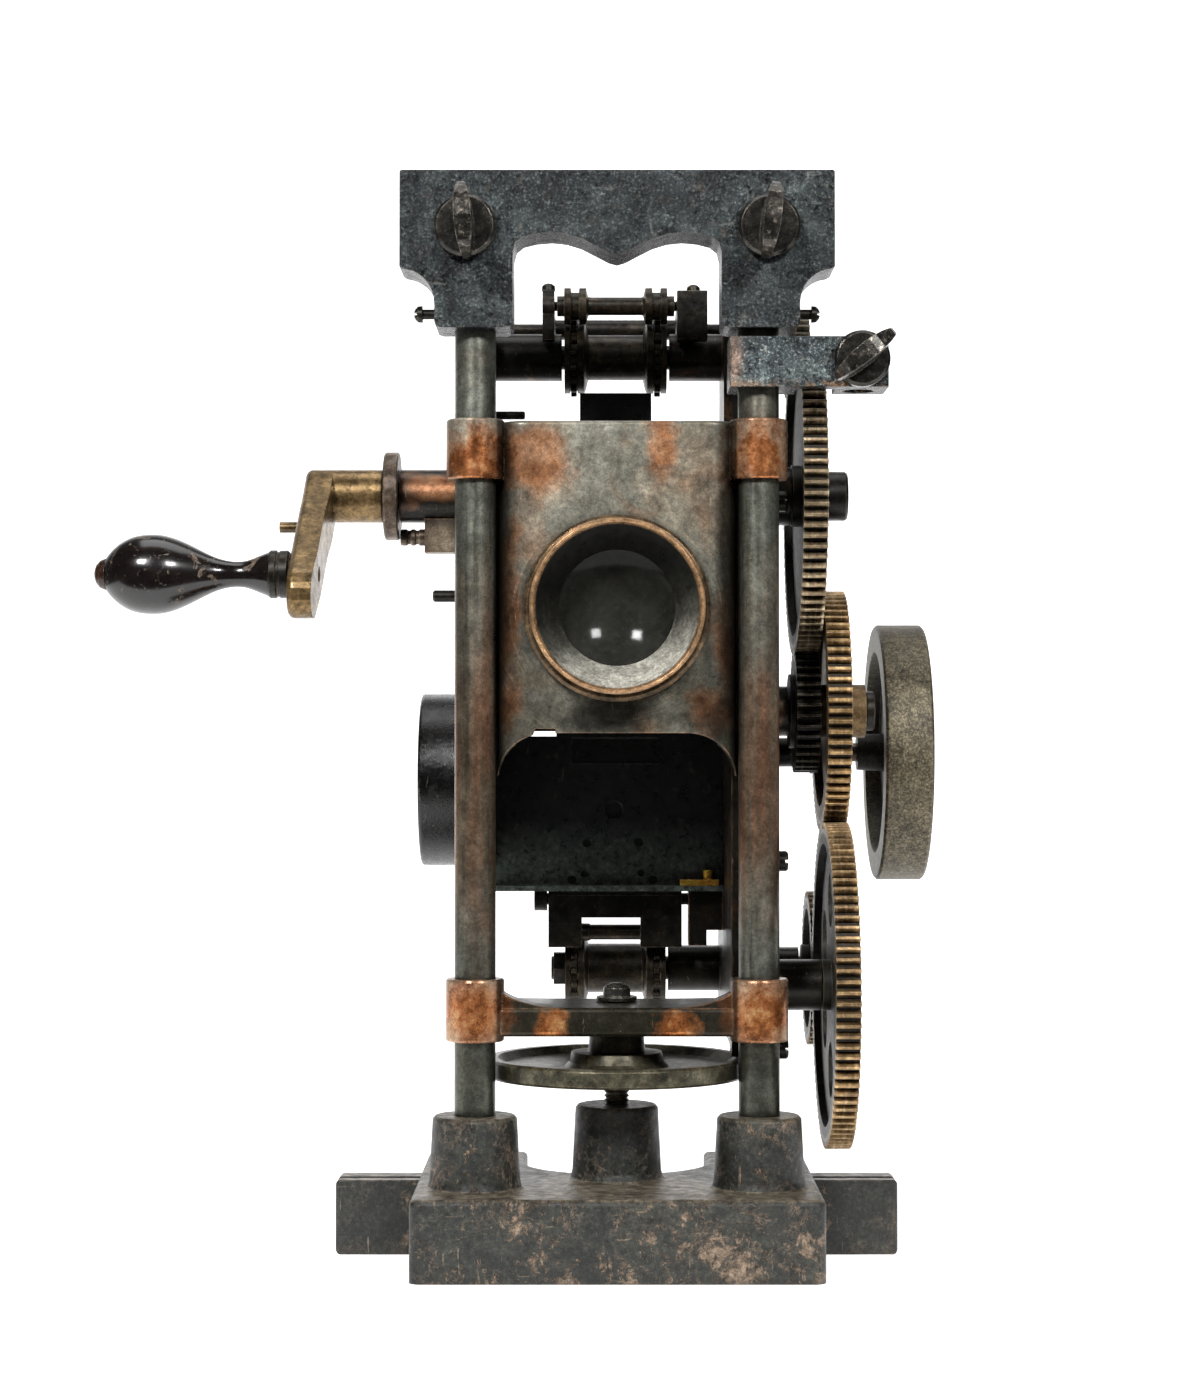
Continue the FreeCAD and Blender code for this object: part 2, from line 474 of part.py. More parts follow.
HINGE = (29.0, 118.0)
door = box(-26.0, 25.0, FILM_Y + 0.2, FILM_Y + 2.8, 170.0, 236.0)
door = rounded(door, 4.0, lambda e: along(e, "y") and mid(e).x < 0)
for z in (174.0, 222.0):
    door = door.fuse(box(24.0, 29.0, FILM_Y + 0.4, FILM_Y + 2.8, z, z + 10))
    door = door.fuse(cylz(z, z + 10, 3.0, HINGE[0], HINGE[1]))
    door = door.fuse(box(26.0, 29.0, FILM_Y + 0.4, HINGE[1], z, z + 10))
door = door.fuse(cyly(FILM_Y + 2.8, FILM_Y + 9.0, 2.4, -20.5, LENS_Z)).fuse(cyly(FILM_Y + 9.0, FILM_Y + 11.5, 4.0, -20.5, LENS_Z))
door = door.cut(box(-12.6, 12.6, 100, 130, LENS_Z - 9.6, LENS_Z + 9.6)).removeSplitter()
door = door.cut(cylz(160, 250, 1.5 + FIT, HINGE[0], HINGE[1]))
nodes["gate_door"] = door
lug = None
for z in (167.0, 184.5, 215.0, 232.5):
    h = 6.5
    piece = fuse(box(HINGE[0] - 1.5, 33.5, HINGE[1] - 1.5, HINGE[1] + 1.5, z, z + h), cylz(z, z + h, 3.0, HINGE[0], HINGE[1]))
    lug = piece if lug is None else lug.fuse(piece)
lug = lug.fuse(box(33.0, WALL_R0, 113.0, 121.0, 166.0, 240.0)).fuse(box(WALL_R0, WALL_R1, 113.0, 121.0, 166.0, 240.0)).removeSplitter()
lug = lug.cut(cylz(160, 250, 1.5, HINGE[0], HINGE[1]))
nodes["gate_hinge"] = lug
nodes["gate_hinge_pin"] = cylz(165.5, 240.5, 1.5, HINGE[0], HINGE[1])

# upper idler: arm on a pivot rod, grooved roller
nodes["upper_pivot_rod"] = cylx(WALL_L0, WALL_R1, 2.0, PIV_U)
RU = (73.5, 308.2)
ua = None
for x0, x1 in ((-24.5, -20.5), (20.5, 28.5)):
    d = (RU[0] - PIV_U[0], RU[1] - PIV_U[1])
    ln = math.hypot(*d)
    n = (-d[1] / ln * 3.4, d[0] / ln * 3.4)
    side = polyx([(PIV_U[0] + n[0], PIV_U[1] + n[1]), (RU[0] + n[0], RU[1] + n[1]), (RU[0] - n[0], RU[1] - n[1]), (PIV_U[0] - n[0], PIV_U[1] - n[1])], x0, x1)
    side = fuse(side, cylx(x0, x1, 3.6, PIV_U), cylx(x0, x1, 3.6, RU))
    ua = side if ua is None else ua.fuse(side)
ua = ua.fuse(cylx(-20.6, 20.6, 3.4, PIV_U)).fuse(box(-24.5, -20.5, 71.2, 75.8, 296.6, 313.4)).fuse(box(20.5, 30.6, 68.6, 75.8, 296.6, 312.8)).removeSplitter()
ua = ua.cut(cylx(-60, 60, 2.0 + FIT, PIV_U)).cut(cylx(-60, 60, 1.6, RU))
ua = ua.cut(cylz(310.4, 320, 1.2, -22.5, 73.5)).cut(cylz(309.8, 320, 1.2, 26.0, 72.4))
nodes["upper_idler_arm"] = ua
nodes["upper_roller_pin"] = cylx(-24.5, 28.5, 1.6, RU)
right = [(8.6, 3.0), (9.2, 3.2), (9.9, 6.1), (12.2, 6.1), (12.3, 4.6), (14.9, 4.6), (15.0, 6.1), (17.2, 6.1), (17.3, 3.4), (19.6, 3.4), (19.6, 1.6 + FIT)]
prof = [(-t, r) for t, r in reversed(right)] + right
nodes["upper_roller"] = turned(prof, "x", RU[0], RU[1])


def top_screw(x, y, z0, z1):
    return cut(turned([(z0 - 3.0, 0), (z0 - 3.0, 1.2), (z0, 1.2), (z0, 2.3), (z1 - 0.9, 2.2), (z1 - 0.2, 1.4), (z1, 0.8), (z1, 0)], "z", x, y),
               box(x - 4, x + 4, y - 0.35, y + 0.35, z1 - 0.8, z1 + 1))


nodes["upper_arm_screws"] = Part.makeCompound([top_screw(-22.5, 73.5, 313.4, 315.8), top_screw(26.0, 72.4, 312.8, 315.2)])

# lower idler
nodes["lower_pivot_rod"] = cylx(-27.5, WALL_R1, 2.0, PIV_L)
RL = (95.5, 97.4)
la = None
for x0, x1 in ((-22.7, -17.6), (17.6, 22.4)):
    d = (RL[0] - PIV_L[0], RL[1] - PIV_L[1])
    ln = math.hypot(*d)
    n = (-d[1] / ln * 3.4, d[0] / ln * 3.4)
    side = polyx([(PIV_L[0] + n[0], PIV_L[1] + n[1]), (RL[0] + n[0], RL[1] + n[1]), (RL[0] - n[0], RL[1] - n[1]), (PIV_L[0] - n[0], PIV_L[1] - n[1])], x0, x1)
    la_side = fuse(side, cylx(x0, x1, 3.8, PIV_L), cylx(x0, x1, 3.4, RL))
    la = la_side if la is None else la.fuse(la_side)
la = la.fuse(cylx(-17.7, 17.7, 3.6, PIV_L))
for x0, x1 in ((-22.7, -11.4), (8.4, 22.4)):
    la = la.fuse(box(x0, x1, 86.2, 90.2, 92.8, 110.4))
la = la.fuse(box(-12.0, 9.0, 86.2, 89.0, 102.8, 110.4)).removeSplitter()
la = la.cut(cylx(-60, 60, 2.0 + FIT, PIV_L)).cut(cylx(-60, 60, 1.4, RL))
nodes["lower_idler_arm"] = la
nodes["lower_roller_pin"] = cylx(-22.7, 22.4, 1.4, RL)
prof = [(-17.2, 1.4 + FIT), (-17.2, 3.0), (-15.4, 3.0), (-15.2, 2.1), (-12.9, 2.1), (-12.7, 3.0), (-9.0, 3.0), (-8.4, 2.6), (8.4, 2.6), (9.0, 3.0),
        (12.7, 3.0), (12.9, 2.1), (15.2, 2.1), (15.4, 3.0), (17.2, 3.0), (17.2, 1.4 + FIT)]
nodes["lower_roller"] = turned(prof, "x", RL[0], RL[1])
nodes["lower_pivot_collar"] = turned([(-27.5, 2.0), (-27.5, 4.0), (-23.2, 4.0), (-23.2, 2.0)], "x", PIV_L[0], PIV_L[1])
nodes["brass_post"] = fuse(box(21.5, 34.5, 72.6, GP0, 114.2, 116.2), cylz(116.2, 119.4, 1.9, 31.0, 74.8))

# crank line
nodes["crank_gear"] = gear(N_CRANK, CRANK, PH_CRANK, PA0, PA1, 4.5, 0.9, 45.5, (60.0, 62.8), (56.9, 66.0, 10.0))
nodes["crank_end_collar"] = turned([(66.0, 4.5), (66.0, 8.0), (74.2, 8.0), (75.0, 7.4), (75.0, 4.5)], "x", *CRANK)
nodes["crank_disc"] = turned([(-75.1, 4.5), (-75.1, 13.8), (-74.6, 14.3), (-70.8, 14.3), (-70.4, 13.9), (-70.4, 4.5)], "x", *CRANK)
PIN = (CRANK[0] + THROW_Y, CRANK[1] + THROW_Z)
ca = turned([(-94.0, 0), (-94.0, 8.6), (-75.9, 8.6), (-75.1, 8.0), (-75.1, 0)], "x", *CRANK)
u = (THROW_Y / math.hypot(THROW_Y, THROW_Z), THROW_Z / math.hypot(THROW_Y, THROW_Z))
w = (-u[1], u[0])
LEN = math.hypot(THROW_Y, THROW_Z)
TAIL = LEN + 11.0       # the arm runs on past the handle
path = [(-91.6, -9.0), (-91.6, 14.0), (-92.2, 26.0), (-92.4, LEN), (-93.4, TAIL + 9.0)]
left = [(-100.6, -9.0), (-100.6, 14.0), (-100.8, 26.0), (-101.0, LEN), (-101.0, TAIL + 9.0)]
ring = path + list(reversed(left))
pts = [V(x, CRANK[0] + t * u[0] - 10 * w[0], CRANK[1] + t * u[1] - 10 * w[1]) for x, t in ring]
slab = Part.Face(Part.makePolygon(pts + [pts[0]])).extrude(V(0, 20 * w[0], 20 * w[1]))
prof2 = arc(0, 0, 8.6, 90, 270, 14) + [(TAIL, -8.2)] + arc(TAIL, 0, 8.2, -90, 90, 14)[1:] + [(0, 8.6)]
pts = [V(-110, CRANK[0] + a * u[0] + b * w[0], CRANK[1] + a * u[1] + b * w[1]) for a, b in prof2]
col = Part.Face(Part.makePolygon(pts + ([pts[0]] if (pts[0] - pts[-1]).Length > 1e-7 else []))).extrude(V(30, 0, 0))
ca = fuse(ca, slab.common(col))
ca = ca.cut(cylx(-92.0, -70, 4.5, CRANK))
ca = rounded(ca, 2.2, lambda e: mid(e).x < -100.4)
ca = ca.cut(cylx(-107, -90, 2.5, PIN))
ca = ca.cut(cylx(-110, -97, 1.75, (CRANK[0] + 21 * u[0], CRANK[1] + 21 * u[1])))
nodes["crank_arm"] = ca
nodes["crank_shaft"] = cylx(-92.0, 75.0, 4.5, CRANK)
nodes["crank_stop_pin"] = cylx(-107.4, -97.0, 1.75, (CRANK[0] + 21 * u[0], CRANK[1] + 21 * u[1]))
nodes["handle_spindle"] = turned([(-162.0, 0), (-162.0, 1.4), (-161.4, 3.0), (-160.2, 4.3), (-158.4, 5.0), (-158.3, 5.0), (-158.3, 2.5), (-93.0, 2.5), (-93.0, 0)], "x", *PIN)
hp = [(-158.0, 5.6), (-154.8, 9.0), (-150.9, 11.3), (-145.5, 12.4), (-140.8, 12.2), (-135.2, 10.5), (-129.4, 7.7), (-124.6, 5.4), (-119.8, 4.1), (-115.2, 4.2),
      (-111.2, 5.6), (-107.9, 6.9)]
curve = Part.BSplineCurve()
curve.interpolate([V(t, PIN[0] + r, PIN[1]) for t, r in hp])
rest = Part.makePolygon([V(-107.9, PIN[0] + 6.9, PIN[1]), V(-107.9, PIN[0] + 2.5 + FIT, PIN[1]), V(-158.0, PIN[0] + 2.5 + FIT, PIN[1]), V(-158.0, PIN[0] + 5.6, PIN[1])])
nodes["crank_handle"] = Part.Face(Part.Wire([curve.toShape()] + rest.Edges)).revolve(V(0, PIN[0], PIN[1]), V(1, 0, 0), 360)
nodes["handle_ferrule"] = turned([(-107.9, 2.5 + FIT), (-107.9, 7.0), (-107.3, 7.5), (-105.6, 7.5), (-105.2, 7.0), (-104.7, 7.0), (-104.3, 7.4), (-102.0, 7.4),
                                  (-101.4, 6.8), (-101.4, 2.5 + FIT)], "x", *PIN)
nodes["spring_plunger"] = turned([(-70.05, 0), (-70.05, 2.4), (-69.5, 2.7), (-68.0, 2.7), (-67.6, 2.3), (-66.8, 2.3), (-66.4, 2.7), (-65.4, 2.7), (-65.0, 2.3),
                                  (-64.2, 2.3), (-63.8, 2.7), (-55.0, 2.7), (-55.0, 0)], "x", 46.0, 228.6)

# intermediate cluster on its stud
nodes["inter_stud"] = turned([(WALL_R0, 0), (WALL_R0, 4.0), (81.0, 4.0), (81.0, 6.4), (83.4, 6.4), (83.8, 5.8), (83.8, 0)], "x", *INTER)
nodes["inter_pinion"] = gear(N_PIN, INTER, PH_PIN, PA0, PA1, 4.0 + FIT, 0.9, hub=(56.0, 65.4, 12.0))
nodes["brass_gear"] = gear(N_GOLD, INTER, PH_GOLD, PB0, PB1, 4.0 + FIT, 0.74, 31.0, (68.4, 71.2), (65.4, 80.6, 8.6))

# lower idler gear
nodes["lower_stud"] = turned([(WALL_R0, 0), (WALL_R0, 4.0), (75.0, 4.0), (75.0, 6.2), (77.2, 6.2), (77.6, 5.6), (77.6, 0)], "x", *LOWER)
nodes["lower_gear"] = gear(N_LOWER, LOWER, PH_LOWER, PB0, PB1, 4.0 + FIT, 0.9, 45.0, (68.2, 71.4), (65.4, 74.4, 8.1), 6, 9.0, 27.0)

# lower sprocket line
nodes["lower_shaft"] = cylx(-22.0, PB1 + 1.2, 4.0, LSPR)
nodes["lower_sprocket"] = sprocket(LSPR, 4.0, -17.2, 17.2, 8.4)
nodes["lower_shaft_nut"] = cut(polyx([(LSPR[0] + 6.2 * math.cos(math.radians(60 * k)), LSPR[1] + 6.2 * math.sin(math.radians(60 * k))) for k in range(6)], -21.2, -17.2),
                               cylx(-30, 0, 4.0, LSPR))
nodes["lower_sprocket_gear"] = gear(N_LSPR, LSPR, PH_LSPR, PB0, PB1, 4.0, 0.9, 20.5, (68.4, 71.2), (64.0, 74.2, 8.0), 5, 4.2, 14.3)

# upper sprocket line
nodes["upper_shaft"] = cylx(-50.4, PA1 + 1.0, 4.0, USPR)
nodes["upper_sprocket"] = sprocket(USPR, 4.0, -17.2, 17.2, 7.6)
nodes["upper_pinion"] = gear(N_USPR, USPR, PH_USPR, PA0, PA1, 4.0, 0.9, hub=(56.2, 65.6, 8.5))
nodes["upper_shaft_collar"] = turned([(-53.2, 0), (-53.2, 6.2), (-52.8, 6.6), (-49.5, 6.6), (-49.5, 4.0), (-50.4, 4.0), (-50.4, 0)], "x", *USPR)

# flywheel and geneva line
nodes["drive_shaft"] = cylx(-62.0, FW_X1 + 1.0, 3.175, DRIVE)
nodes["drive_pinion"] = gear(N_DRIVE, DRIVE, PH_DRIVE, PB0, PB1, 3.175, 0.9, hub=(55.0, 66.0, 4.9))
fw = turned([(FW_X0, 34.0), (FW_X0, FW_R - 0.8), (FW_X0 + 0.8, FW_R), (FW_X1 - 0.8, FW_R), (FW_X1, FW_R - 0.8), (FW_X1, 34.0),
             (FW_X1 - 5.5, 33.0), (FW_X1 - 5.5, 9.0), (FW_X1, 8.6), (FW_X1, 3.175), (FW_X0 - 6.0, 3.175), (FW_X0 - 6.0, 6.0), (FW_X0 + 5.0, 6.4),
             (FW_X0 + 5.0, 33.0)], "x", *DRIVE)
nodes["flywheel"] = fw
PIN_R = math.hypot(STAR[0] - DRIVE[0], STAR[1] - DRIVE[1]) / math.sqrt(2)
ga = math.atan2(STAR[1] - DRIVE[1], STAR[0] - DRIVE[0])
gp_c = (DRIVE[0] + PIN_R * math.cos(ga + math.pi), DRIVE[1] + PIN_R * math.sin(ga + math.pi))
gd = fuse(cylx(-61.6, -57.6, PIN_R + 1.8, DRIVE), cylx(-57.7, -57.0, 1.5, gp_c))
nodes["geneva_driver"] = gd.cut(cylx(-62.0, -50, 3.175, DRIVE))
star = cylx(-56.4, -52.4, PIN_R - 0.2, STAR)
for k in range(4):
    a = ga + math.pi + math.pi / 4 + k * math.pi / 2
    d = (math.cos(a), math.sin(a))
    n = (-d[1] * 1.55, d[0] * 1.55)
    p0 = (STAR[0] + 5.4 * d[0], STAR[1] + 5.4 * d[1])
    p1 = (STAR[0] + 20 * d[0], STAR[1] + 20 * d[1])
    star = star.cut(polyx([(p0[0] + n[0], p0[1] + n[1]), (p0[0] - n[0], p0[1] - n[1]), (p1[0] - n[0], p1[1] - n[1]), (p1[0] + n[0], p1[1] + n[1])], -57, -52))
    star = star.cut(cylx(-57, -52, 1.55, p0))
    b = ga + math.pi + k * math.pi / 2
    cc = (STAR[0] + PIN_R * math.sqrt(2) * math.cos(b), STAR[1] + PIN_R * math.sqrt(2) * math.sin(b))
    star = star.cut(cylx(-57, -52, 8.6, cc))
nodes["geneva_star"] = star.cut(cylx(-60, -50, 3.175, STAR))
nodes["star_shaft"] = cylx(-56.4, 34.0, 3.175, STAR)
nodes["intermittent_sprocket"] = sprocket(STAR, 3.175, -17.2, 17.2, 7.0)
case = cylx(-66.0, WALL_L0, DRUM_R, DRUM)
case = rounded(case, 1.2, lambda e: abs(mid(e).x + 66.0) < 1e-6 and len(e.Vertexes) == 1)
nodes["geneva_case"] = case.cut(cylx(-63.4, WALL_L0 + 1, DRUM_R - 2.0, DRUM))

# framing wheel with its screw, and the shouldered screw that holds it to the bar
thread = [(57.0, 0), (57.0, SCREW_R)]
z = 56.4
while z > 14.5:
    thread += [(z, SCREW_R), (z - 0.45, SCREW_R - 0.55), (z - 0.96, SCREW_R - 0.55)]
    z -= 1.411
thread += [(14.0, SCREW_R - 0.6), (13.0, SCREW_R - 1.2), (13.0, 0)]
stem = turned(thread, "z", 0, SCREW_Y)
rim = turned([(57.0, 0), (57.0, WHEEL_R - 0.8), (57.8, WHEEL_R), (62.2, WHEEL_R), (63.0, WHEEL_R - 0.8), (63.0, WHEEL_R - 3.4), (60.6, WHEEL_R - 6.0),
              (60.0, 16.5), (61.6, 15.0), (63.2, 14.6), (64.6, 14.2), (64.8, 9.0), (71.0, 8.5), (71.0, 0)], "z", 0, SCREW_Y)
wheel = fuse(rim, stem)
wheel = wheel.cut(cylz(62.0, 75, 3.2, 0, SCREW_Y))
nodes["framing_wheel"] = wheel
cap = turned([(62.0, 0), (62.0, 3.2), (80.7, 3.2), (80.7, 6.4), (81.9, 6.4), (82.0, 4.4), (84.6, 4.2), (85.6, 3.2), (86.2, 1.8), (86.2, 0)], "z", 0, SCREW_Y)
nodes["framing_cap_screw"] = cut(cap, box(-6, 6, SCREW_Y - 0.55, SCREW_Y + 0.55, 84.8, 88))

# pieces made in one with the piece they are driven into
for whole, bit in (("gate_hinge", "gate_hinge_pin"), ("upper_idler_arm", "upper_roller_pin"), ("lower_idler_arm", "lower_roller_pin"),
                   ("lower_pivot_rod", "lower_pivot_collar"), ("upper_shaft", "upper_shaft_collar"), ("lower_shaft", "lower_shaft_nut"),
                   ("crank_arm", "crank_stop_pin"), ("star_shaft", "geneva_star")):
    nodes[whole] = fuse(nodes[whole], nodes.pop(bit))

os.makedirs("parts", exist_ok=True)
for name, shape in nodes.items():
    shape.exportStep("parts/" + name + ".step")
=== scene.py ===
import math

import bmesh
import bpy
from mathutils import Matrix, Vector

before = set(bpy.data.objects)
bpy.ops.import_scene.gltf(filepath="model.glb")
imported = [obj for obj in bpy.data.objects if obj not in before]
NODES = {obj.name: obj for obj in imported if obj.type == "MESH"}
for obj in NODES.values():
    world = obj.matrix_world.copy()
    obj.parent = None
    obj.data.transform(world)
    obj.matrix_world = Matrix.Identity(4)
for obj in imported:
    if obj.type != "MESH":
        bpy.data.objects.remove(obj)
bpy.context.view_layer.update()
MM = 0.001


# ------------------------------------------------------------------ materials
def lin(r, g, b):
    """Screen values 0-255 to linear colour."""
    def one(c):
        c = c / 255.0
        return c / 12.92 if c <= 0.04045 else ((c + 0.055) / 1.055) ** 2.4
    return (one(r), one(g), one(b), 1.0)


class Tree:
    """Short names for building one material's nodes."""

    def __init__(self, name):
        self.mat = bpy.data.materials.new(name)
        self.mat.use_nodes = True
        self.t = self.mat.node_tree
        self.t.nodes.clear()
        self.out = self.t.nodes.new("ShaderNodeOutputMaterial")
        self.bsdf = self.t.nodes.new("ShaderNodeBsdfPrincipled")
        self.t.links.new(self.bsdf.outputs[0], self.out.inputs[0])
        tc = self.t.nodes.new("ShaderNodeTexCoord")
        m = self.t.nodes.new("ShaderNodeMapping")
        m.inputs["Scale"].default_value = (1000, 1000, 1000)   # object space in millimetres
        self.t.links.new(tc.outputs["Object"], m.inputs["Vector"])
        self.mm = m.outputs[0]

    def put(self, socket, value):
        if hasattr(value, "is_linked") or isinstance(value, bpy.types.NodeSocket):
            self.t.links.new(value, socket)
        elif isinstance(value, (tuple, list)) and len(value) == 3 and socket.type == "RGBA":
            socket.default_value = (*value, 1)
        else:
            socket.default_value = value

    def stretch(self, sx, sy, sz, vec=None):
        m = self.t.nodes.new("ShaderNodeMapping")
        m.inputs["Scale"].default_value = (sx, sy, sz)
        self.t.links.new(vec or self.mm, m.inputs["Vector"])
        return m.outputs[0]

    def noise(self, size, detail=3.0, rough=0.55, vec=None, warp=0.0):
        """Noise with features about size mm across, 0 to 1."""
        n = self.t.nodes.new("ShaderNodeTexNoise")
        n.inputs["Scale"].default_value = 1.0 / size
        n.inputs["Detail"].default_value = detail
        n.inputs["Roughness"].default_value = rough
        n.inputs["Distortion"].default_value = warp
        self.t.links.new(vec or self.mm, n.inputs["Vector"])
        return n.outputs[0]

    def cells(self, size, vec=None, feature="F1", out="Distance", random=1.0):
        n = self.t.nodes.new("ShaderNodeTexVoronoi")
        n.feature = feature
        n.inputs["Scale"].default_value = 1.0 / size
        n.inputs["Randomness"].default_value = random
        self.t.links.new(vec or self.mm, n.inputs["Vector"])
        return n.outputs[out]

    def ramp(self, fac, *stops):
        n = self.t.nodes.new("ShaderNodeValToRGB")
        self.t.links.new(fac, n.inputs[0])
        el = n.color_ramp.elements
        while len(el) > 1:
            el.remove(el[-1])
        for i, (p, c) in enumerate(stops):
            e = el[0] if i == 0 else el.new(p)
            e.position = p
            e.color = c if isinstance(c, (tuple, list)) else (c, c, c, 1)
        return n.outputs[0]

    def mix(self, fac, a, b, mode="MIX"):
        n = self.t.nodes.new("ShaderNodeMix")
        n.data_type = "RGBA"
        n.blend_type = mode
        self.put(n.inputs[0], fac)
        self.put(n.inputs[6], a)
        self.put(n.inputs[7], b)
        return n.outputs[2]

    def math(self, op, a, b=0.0, c=None, clamp=False):
        n = self.t.nodes.new("ShaderNodeMath")
        n.operation = op
        n.use_clamp = clamp
        self.put(n.inputs[0], a)
        self.put(n.inputs[1], b)
        if c is not None:
            self.put(n.inputs[2], c)
        return n.outputs[0]

    def remap(self, v, a, b, lo=0.0, hi=1.0):
        n = self.t.nodes.new("ShaderNodeMapRange")
        n.inputs[1].default_value = a
        n.inputs[2].default_value = b
        n.inputs[3].default_value = lo
        n.inputs[4].default_value = hi
        self.t.links.new(v, n.inputs[0])
        return n.outputs[0]

    def sep(self, vec=None):
        n = self.t.nodes.new("ShaderNodeSeparateXYZ")
        self.t.links.new(vec or self.mm, n.inputs[0])
        return n.outputs

    def normal_z(self):
        """How far the surface faces up, -1 to 1, in object space."""
        tc = self.t.nodes.new("ShaderNodeTexCoord")
        return self.sep(tc.outputs["Normal"])[2]

    def spot(self, x, y, z, rx, ry, rz, ragged=0.35, size=6.0):
        """A soft-edged patch about a point in mm, with a ragged edge: 1 inside, 0 outside."""
        s = self.t.nodes.new("ShaderNodeVectorMath")
        s.operation = "SUBTRACT"
        self.t.links.new(self.mm, s.inputs[0])
        s.inputs[1].default_value = (x, y, z)
        d = self.t.nodes.new("ShaderNodeVectorMath")
        d.operation = "DIVIDE"
        self.t.links.new(s.outputs[0], d.inputs[0])
        d.inputs[1].default_value = (rx, ry, rz)
        ln = self.t.nodes.new("ShaderNodeVectorMath")
        ln.operation = "LENGTH"
        self.t.links.new(d.outputs[0], ln.inputs[0])
        n = self.noise(size, 3.0, 0.5)
        wob = self.math("MULTIPLY_ADD", n, ragged * 2.2, -ragged * 1.1)
        return self.remap(self.math("ADD", ln.outputs["Value"], wob), 1.15, 0.45)

    def most(self, *vals):
        out = vals[0]
        for v in vals[1:]:
            out = self.math("MAXIMUM", out, v)
        return out

    def edges(self, width=0.8, gain=2.6, samples=4):
        """Worn edges: where a rounded-off normal leaves the flat one."""
        b = self.t.nodes.new("ShaderNodeBevel")
        b.samples = samples
        b.inputs["Radius"].default_value = width * MM
        g = self.t.nodes.new("ShaderNodeNewGeometry")
        d = self.t.nodes.new("ShaderNodeVectorMath")
        d.operation = "DOT_PRODUCT"
        self.t.links.new(b.outputs[0], d.inputs[0])
        self.t.links.new(g.outputs["Normal"], d.inputs[1])
        e = self.math("SUBTRACT", 1.0, d.outputs["Value"])
        return self.math("MULTIPLY", e, gain, clamp=True), b.outputs[0]

    def bump(self, height, strength, depth, normal=None):
        n = self.t.nodes.new("ShaderNodeBump")
        n.inputs["Strength"].default_value = strength
        n.inputs["Distance"].default_value = depth * MM
        self.t.links.new(height, n.inputs["Height"])
        if normal is not None:
            self.t.links.new(normal, n.inputs["Normal"])
        return n.outputs[0]

    def grit(self, colour, amount):
        """Break a colour up with light and dark at two scales."""
        a = self.noise(7.0, 9, 0.80)
        b = self.noise(1.5, 6, 0.78)
        c = self.noise(0.55, 4, 0.75)
        g = self.math("ADD", self.math("MULTIPLY", a, 0.4), self.math("MULTIPLY", b, 0.35))
        g = self.math("ADD", g, self.math("MULTIPLY", c, 0.25))
        g = self.ramp(g, (0.41, 0.02), (0.50, 0.44), (0.58, 1.0))
        return self.mix(amount, colour, g, "OVERLAY")

    def corner_shade_and_dirt(self, colour, reach):
        """Painted shade in corners and creases, from ambient occlusion; it also stands for dirt settled there."""
        n = self.t.nodes.new("ShaderNodeAmbientOcclusion")
        n.samples = 4
        n.inputs["Distance"].default_value = reach * MM
        d = self.ramp(n.outputs["AO"], (0.25, 0.85), (0.75, 0.0))
        return self.mix(d, colour, lin(16, 14, 11))

    def finish(self, colour, rough, metal=1.0, normal=None, spec=0.5, coat=0.0, coat_rough=0.1, grit=0.7):
        b = self.bsdf
        if grit:
            # with grit on, corners and creases also get painted shade
            colour = self.corner_shade_and_dirt(self.grit(colour, grit), 7.0)
        self.put(b.inputs["Base Color"], colour)
        self.put(b.inputs["Roughness"], rough)
        self.put(b.inputs["Metallic"], metal)
        b.inputs["Specular IOR Level"].default_value = spec
        b.inputs["Coat Weight"].default_value = coat
        b.inputs["Coat Roughness"].default_value = coat_rough
        if normal is not None:
            self.t.links.new(normal, b.inputs["Normal"])
        return self.mat


